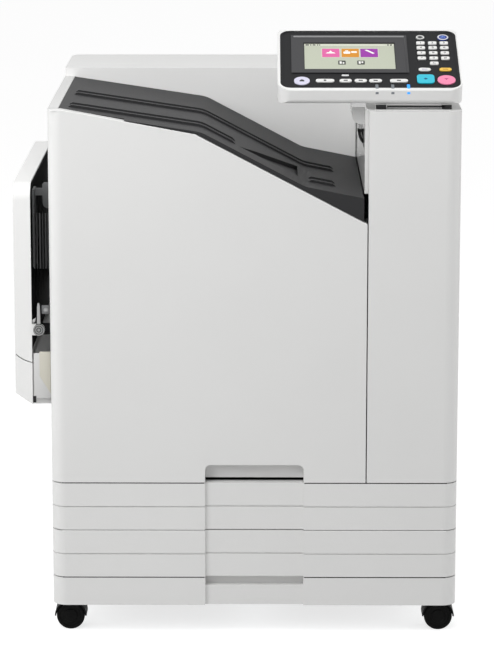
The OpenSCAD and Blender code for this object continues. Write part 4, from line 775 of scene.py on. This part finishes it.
# %% Full-tray levers
LEVER_TOP = 893.5
front_hook = [(179.8, LEVER_TOP), (185.2, LEVER_TOP), (185.6, 886), (189.0, 877), (188.2, 871), (184.0, 876),
              (181.0, 885)]
rear_hook = [(186.8, LEVER_TOP), (190.6, LEVER_TOP), (190.6, 870), (188.6, 868), (189.0, 878), (187.6, 886)]
for name, hook, depth in (("front", front_hook, 98), ("rear", rear_hook, 106)):
    make_piece(standing(cut_out(hook, 0, 4, 0.5), depth), f"full_lever_{name}", black_abs, "cabinet",
               stand)
arm = standing(plate((179.8, 890), (190.6, 895), 0, 12, 1.0, 0.4), 106)
make_piece(arm, "full_lever_arm", black_abs, "cabinet", stand)
strip = standing(cut_out([(183, 894), (188.6, 894), (188.6, 912), (184, 912)], 0, 5, 0.6), 104)
make_piece(strip, "exit_guide_strip", white_abs, "cabinet", stand)
print("levers hang from", LEVER_TOP, "mm above the floor")

# %% [markdown]
# The folded side tray turns on a pin whose cap shows in the narrow opening beside the body. The cap is a
# moulded hub with rings, so it is laid together from rings and a disc on one middle. A tapered lever that holds
# the tray shut stands on it.

# %% Hub and lever of the side tray
HUB = (-377.0, 549.0)
HUB_DEPTH = 33.0
hub = gather([ring(*HUB, 0, 1.6, 7.8, 10.0), ring(*HUB, 0, 1.4, 4.4, 6.4), disc(*HUB, 0, 1.2, 2.8, 0.5)])
make_piece(standing(hub, HUB_DEPTH), "tray_hub_cap", hub_abs, "cabinet", stand)
hub_base = standing(disc(*HUB, 0, 0.5, 8.8), HUB_DEPTH)
make_piece(hub_base, "tray_hub_base", hub_base_abs, "cabinet", stand)
taper = [(-380.2, 560), (-373.8, 560), (-374.6, 590), (-375.6, 597), (-378.4, 597), (-379.4, 590)]
stay_lever = standing(cut_out(taper, 0, 1.6, 0.6), HUB_DEPTH)
make_piece(stay_lever, "tray_stay_lever_cover", light_grey_abs, "cabinet", stand)
print("hub cap at", HUB, "mm")

# %% [markdown]
# Behind the hub runs a cross bar with a catch plate, and a claw in front of it grips the tray. The bolt is a disc
# in a ring, because a washer shows round it.

# %% Catch of the side tray
CATCH_DEPTH = 40
BOLT = (-364.5, 584)
BOLT_DEPTH = 37
catch = standing(plate((-372, 577), (-359, 592), 0, 3, 1.0, 0.4), CATCH_DEPTH)
make_piece(catch, "tray_catch_plate", grey_abs, "cabinet", stand)
bolt = gather([standing(disc(*BOLT, 0, 1.4, 2.6, 0.4), BOLT_DEPTH),
               standing(ring(*BOLT, 0, 0.8, 3.0, 3.8), BOLT_DEPTH)])
make_piece(bolt, "tray_catch_bolt", light_grey_abs, "cabinet", stand)
claw = standing(cut_out([(-388, 561), (-383.5, 563), (-382, 571), (-384.5, 569), (-388, 567)], 0, 2, 0.4), 35.5)
make_piece(claw, "tray_catch_claw", light_grey_abs, "cabinet", stand)
print("bolt at", BOLT, "mm")

# %% [markdown]
# Below the hub, the end of the lower housing is closed by a light cover with a cream panel. The cover stands in
# front of the tray's end, because the tray turns behind it. Above the hub, the feeder's black wall has upright
# ribs, which catch a little light.

# %% End cover and ribs of the side unit
COVER_DEPTH = 35.6
PANEL_DEPTH = 34.6
cover_left, cover_right, cover_low, cover_high = -387, -357.2, 426, 507
cover_front = [(cover_left, cover_low), (cover_right, cover_low), (cover_right, cover_high), (cover_left, cover_high)]
cover = gather([standing(plate((-386.8, 426.2), (-357.4, 486), 0, 8.8), 44),
                standing(cut_out(cover_front, 0, 1.0, 0.4), COVER_DEPTH)])
# the end cover is in the covers' white, darkened as painted shade
make_piece(cover, "housing_end_cover", shaded_white_abs, "cabinet", stand)
# painted shade: a thin black plate where a groove of the end cover lies in shadow
groove = standing(plate((-388.8, 418.5), (-383.3, 430), 0, 0.6), PANEL_DEPTH)
make_piece(groove, "housing_shadow_plate", black_abs, "cabinet", stand)
RIBS = ((-384.0, 2.2), (-378.5, 1.4), (-374.0, 2.6), (-368.5, 1.4), (-364.0, 2.4), (-359.5, 1.8))
ribs = gather([standing(plate((x, 658), (x + wide, 756), 0, 1.6, soft=0.3), 36.0) for x, wide in RIBS])
make_piece(ribs, "feeder_ribs", rib_abs, "cabinet", stand)
cream = [(-376.6, 466), (cover_right, 434), (cover_right, 510), (-376.6, 510)]
make_piece(standing(cut_out(cream, 0, 1.4, 0.5), PANEL_DEPTH), "housing_end_panel", cream_abs, "cabinet",
           stand)
print("ribs:", len(RIBS))

# %% [markdown]
# The upper edges of the door and the lower drawer are rolled beads in a whiter finish than the covers, a painted
# highlight, so they show as bright lines. A round wire bent along an edge would do, and a poly curve with a round
# bevel is the shortest way to it. The drawer has its bead at both sides of the grip column, which lies a little
# deeper.

# %% Beads along the upper edges
DOOR_EDGE = [(-352, 940.5), (-334, 940.5), (-102, 898.0), (194.2, 741.7)]
DRAWER_EDGE_MM = 194.1
GRIP_SIDES = ((-338, -88), (88, 338))


def bead(line, radius):
    """A round wire along a line of places x and z, in mm, that touches the plane of the door's face."""
    wire = bpy.data.curves.new("wire", "CURVE")
    wire.dimensions = "3D"
    wire.bevel_depth = radius * MM
    wire.bevel_resolution = 3
    wire.use_fill_caps = True
    spline = wire.splines.new("POLY")
    spline.points.add(len(line) - 1)
    for point, (x, z) in zip(spline.points, line):
        point.co = (x * MM, radius * MM, z * MM, 1)
    bender = bpy.data.objects.new("wire", wire)
    mesh = bpy.data.meshes.new_from_object(bender)
    bm = bmesh.new()
    bm.from_mesh(mesh)
    bpy.data.objects.remove(bender)
    bpy.data.meshes.remove(mesh)
    return bm


make_piece(bead(DOOR_EDGE, 1.3), "door_edge_highlight_bead", highlight_white_abs, "front_door", stand)
drawer_beads = [bead([(x0, DRAWER_EDGE_MM), (x1, DRAWER_EDGE_MM)], 1.0) for x0, x1 in GRIP_SIDES]
make_piece(gather(drawer_beads), "lower_front_highlight_bead", highlight_white_abs, "drawer_lower", stand)
print("beads: one along the door and", len(drawer_beads), "along the drawer")

# %% [markdown]
# In the gaps below the door and above the skirt lies a flat black strip, a painted shadow, so those two gaps read as
# dark lines. Each lies on the edge below its gap and sinks a little into it, and the upper one moves with its drawer.

# %% Painted shadow strips in the gaps
SHADOW_STRIPS = {"upper_front": ("drawer_upper", 280.5), "skirt": ("cabinet", 108.5)}
STRIP_SINKS, STRIP_RISES = 0.1, 0.5
for name, (body, z) in SHADOW_STRIPS.items():
    # painted shadow: black strips laid in the two gaps so that they read dark
    shadow_strips = [plate((x0, 1.0), (x1, 14), z - STRIP_SINKS, z + STRIP_RISES) for x0, x1 in GRIP_SIDES]
    make_piece(gather(shadow_strips), f"{name}_shadow_strip", shade_black_abs, body, stand)
print("sealed gaps:", len(SHADOW_STRIPS))

# %% [markdown]
# Screws hold the rear cover, its duct, the ink holder and the belt unit. One pan head with a cross slot is turned
# from its outline and repeated, because each is too small to need a shape of its own.

# %% One screw
HEAD_MM = 4.0
SLOT_HALF, SLOT_REACH = 0.45, 2.2


def screw():
    """A pan-head screw at the origin, head along Z."""
    bm = bmesh.new()
    outline = [(0, 1.9), (1.6, 1.9), (3.2, 1.5), (HEAD_MM, 0.6), (HEAD_MM, -0.3)]
    verts = [bm.verts.new(Vector((r, 0, z)) * MM) for r, z in outline]
    edges = [bm.edges.new(pair) for pair in zip(verts, verts[1:])]
    bmesh.ops.spin(bm, geom=verts + edges, cent=(0, 0, 0), axis=(0, 0, 1), angle=math.tau, steps=16, use_merge=True)
    bmesh.ops.remove_doubles(bm, verts=bm.verts, dist=0.001 * MM)
    bmesh.ops.holes_fill(bm, edges=bm.edges[:], sides=0)
    return bm


def slot_shade_cross():
    """A black cross on a screw's head, painted shade where its cross slot is pressed in."""
    return gather([plate((-SLOT_REACH, -SLOT_HALF), (SLOT_REACH, SLOT_HALF), 1.85, 2.0),
                   plate((-SLOT_HALF, -SLOT_REACH), (SLOT_HALF, SLOT_REACH), 1.85, 2.0)])


print("screw head:", 2 * HEAD_MM, "mm across")

# %% [markdown]
# A group of screws is one piece, and the painted shade of their slots is another, so that each can have its own
# finish. Those on the back face the rear, the others face the front.

# %% Groups of screws
BACK_MM = 690
INK_FACE_MM = 58
BELT_FACE_MM = 49
FACING_REAR = Matrix.Rotation(math.radians(-90), 4, "X")


def screws(name, facing, places):
    """A piece of screw heads at places x, depth and height, in mm, and a piece of the painted shade in their slots.
    """
    heads, slots = [], []
    for place in places:
        put = Matrix.Translation(Vector(place) * MM) @ facing
        for bm, kept in ((screw(), heads), (slot_shade_cross(), slots)):
            bmesh.ops.transform(bm, matrix=put, verts=bm.verts)
            kept.append(bm)
    make_piece(gather(heads), name, screw_steel, "cabinet", stand)
    # the slots are black plates: painted shade
    make_piece(gather(slots), f"{name}_slots", black_abs, "cabinet", stand)


screws("rear_cover_screws", FACING_REAR, [(x, BACK_MM, z) for x in (-318, 318) for z in (135, 335, 535, 735, 915)])
screws("duct_screws", FACING_REAR, [(x, BACK_MM, z) for x in (-230, 230) for z in (430, 760)])
screws("ink_bay_screws", UPRIGHT, [(x, INK_FACE_MM, z) for x in (-296, 131) for z in (292, 391)])
screws("belt_unit_screws", UPRIGHT, [(x, BELT_FACE_MM, 533) for x in (-212, -120, 10)])
print("screws on the back", BACK_MM, "mm behind the door face")

# %% [markdown]
# With the door open, each ink cartridge shows its colour, and a thin collar in the same colour round its bore
# says which one goes where. On the door's inner face sits the small steel plate that a magnet holds.

# %% Collars of the ink bay and the door's catch plate
BORES = {"black": -250.5, "cyan": -138.5, "magenta": -26.5, "yellow": 85.5}
BORE_MM = 345.5
COLLAR_IN, COLLAR_OUT = 44.6, 47.2
DOOR_INSIDE_MM = 26.2
for ink, x in BORES.items():
    collar = standing(ring(x, BORE_MM, 0, 0.8, COLLAR_IN, COLLAR_OUT), INK_FACE_MM)
    make_piece(collar, f"ink_collar_{ink}", ink_finish[ink], "cabinet", stand)
door_catch = standing(plate((158, 600), (184, 614), 0, 1.2, 3.0), DOOR_INSIDE_MM)
make_piece(door_catch, "door_catch_plate", zinc_steel, "front_door", stand)
print("collars:", len(BORES))

# %% [markdown]
# The studio is a pale floor, large enough to fill the view. To the camera and in reflections it adds a little
# of its own light, so it turns white where nothing shades it and keeps the shadow under the machine. A white
# backdrop would do as well, but a bright one would also light the covers.

# %% Floor
FLOOR_HALF_M = 40
FLOOR_GLOW = 0.72
FLOOR_TONES = ("#C9C9C9", "#C6C6C6")
PATCHES_PER_M = 0.6


def seen_directly(tree):
    """One for rays that come straight from the camera or by a mirror or a glass, zero for all other light."""
    rays = tree.nodes.new("ShaderNodeLightPath")
    straight = add_node(tree, "ShaderNodeMath", {"operation": "MAXIMUM"}, i0=rays.outputs["Is Camera Ray"],
                        i1=rays.outputs["Is Glossy Ray"])
    return add_node(tree, "ShaderNodeMath", {"operation": "MAXIMUM"}, i0=straight.outputs[0],
                    i1=rays.outputs["Is Transmission Ray"]).outputs[0]


finish, tree, surface, place = new_finish("studio floor", Roughness=0.9, Specular_IOR_Level=0.0)
mottle = add_node(tree, "ShaderNodeTexNoise", Vector=place, Scale=PATCHES_PER_M, Detail=1.0)
tone = add_node(tree, "ShaderNodeMix", COLOURS, Factor=mottle.outputs["Fac"],
                i6=linear(FLOOR_TONES[0]), i7=linear(FLOOR_TONES[1]))
tree.links.new(tone.outputs[2], surface.inputs["Base Color"])
glow = add_node(tree, "ShaderNodeMath", {"operation": "MULTIPLY"}, i0=seen_directly(tree), i1=FLOOR_GLOW)
surface.inputs["Emission Color"].default_value = (1, 1, 1, 1)
tree.links.new(glow.outputs[0], surface.inputs["Emission Strength"])

bm = bmesh.new()
bmesh.ops.create_grid(bm, x_segments=4, y_segments=4, size=FLOOR_HALF_M)
mesh = bpy.data.meshes.new("floor")
bm.to_mesh(mesh)
bm.free()
mesh.materials.append(finish)
floor = bpy.data.objects.new("floor", mesh)
bpy.context.scene.collection.objects.link(floor)
print("floor half width:", FLOOR_HALF_M, "m")

# %% [markdown]
# The sky is an even grey that fills in the shade. Only to the camera and in reflections it is white, so the
# background comes out white without more light on the machine.

# %% Sky
SKY_LEVEL = 0.44
sky = bpy.data.worlds.new("studio")
sky.use_nodes = True
bpy.context.scene.world = sky
tree = sky.node_tree
level = add_node(tree, "ShaderNodeMapRange", Value=seen_directly(tree), To_Min=SKY_LEVEL, To_Max=1.0)
background = tree.nodes["Background"]
tree.links.new(level.outputs["Result"], background.inputs["Strength"])
background.inputs["Color"].default_value = (1, 1, 1, 1)
print("sky level:", SKY_LEVEL)

# %% [markdown]
# Five soft lamps: a large one high on the left in front, which leaves the upper left of the door lighter than its
# foot and its right side, a weak one on the right, one above in front that opens up the output tray, and one
# beyond each side that draws a bright line down the rounded corners.

# %% Lamps


def soft_lamp(name, place, target, size, watts):
    """A square lamp of a size in metres, at a place and aimed at a target in mm."""
    lamp = bpy.data.objects.new(name, bpy.data.lights.new(name, "AREA"))
    lamp.data.shape = "SQUARE"
    lamp.data.size = size
    lamp.data.energy = watts
    lamp.location = at(*place)
    lamp.rotation_euler = (at(*target) - at(*place)).to_track_quat("-Z", "Y").to_euler()
    bpy.context.scene.collection.objects.link(lamp)


soft_lamp("key", (-1500, -1500, 1900), (-100, 200, 750), 1.4, 26)
soft_lamp("fill", (2000, -2000, 1700), (0, 300, 800), 1.6, 2)
soft_lamp("top", (-200, -1300, 2900), (0, 350, 900), 1.6, 27)
soft_lamp("left", (-2600, 100, 900), (-356, 300, 600), 1.4, 13)
soft_lamp("right", (2600, 100, 900), (356, 300, 600), 1.4, 17)
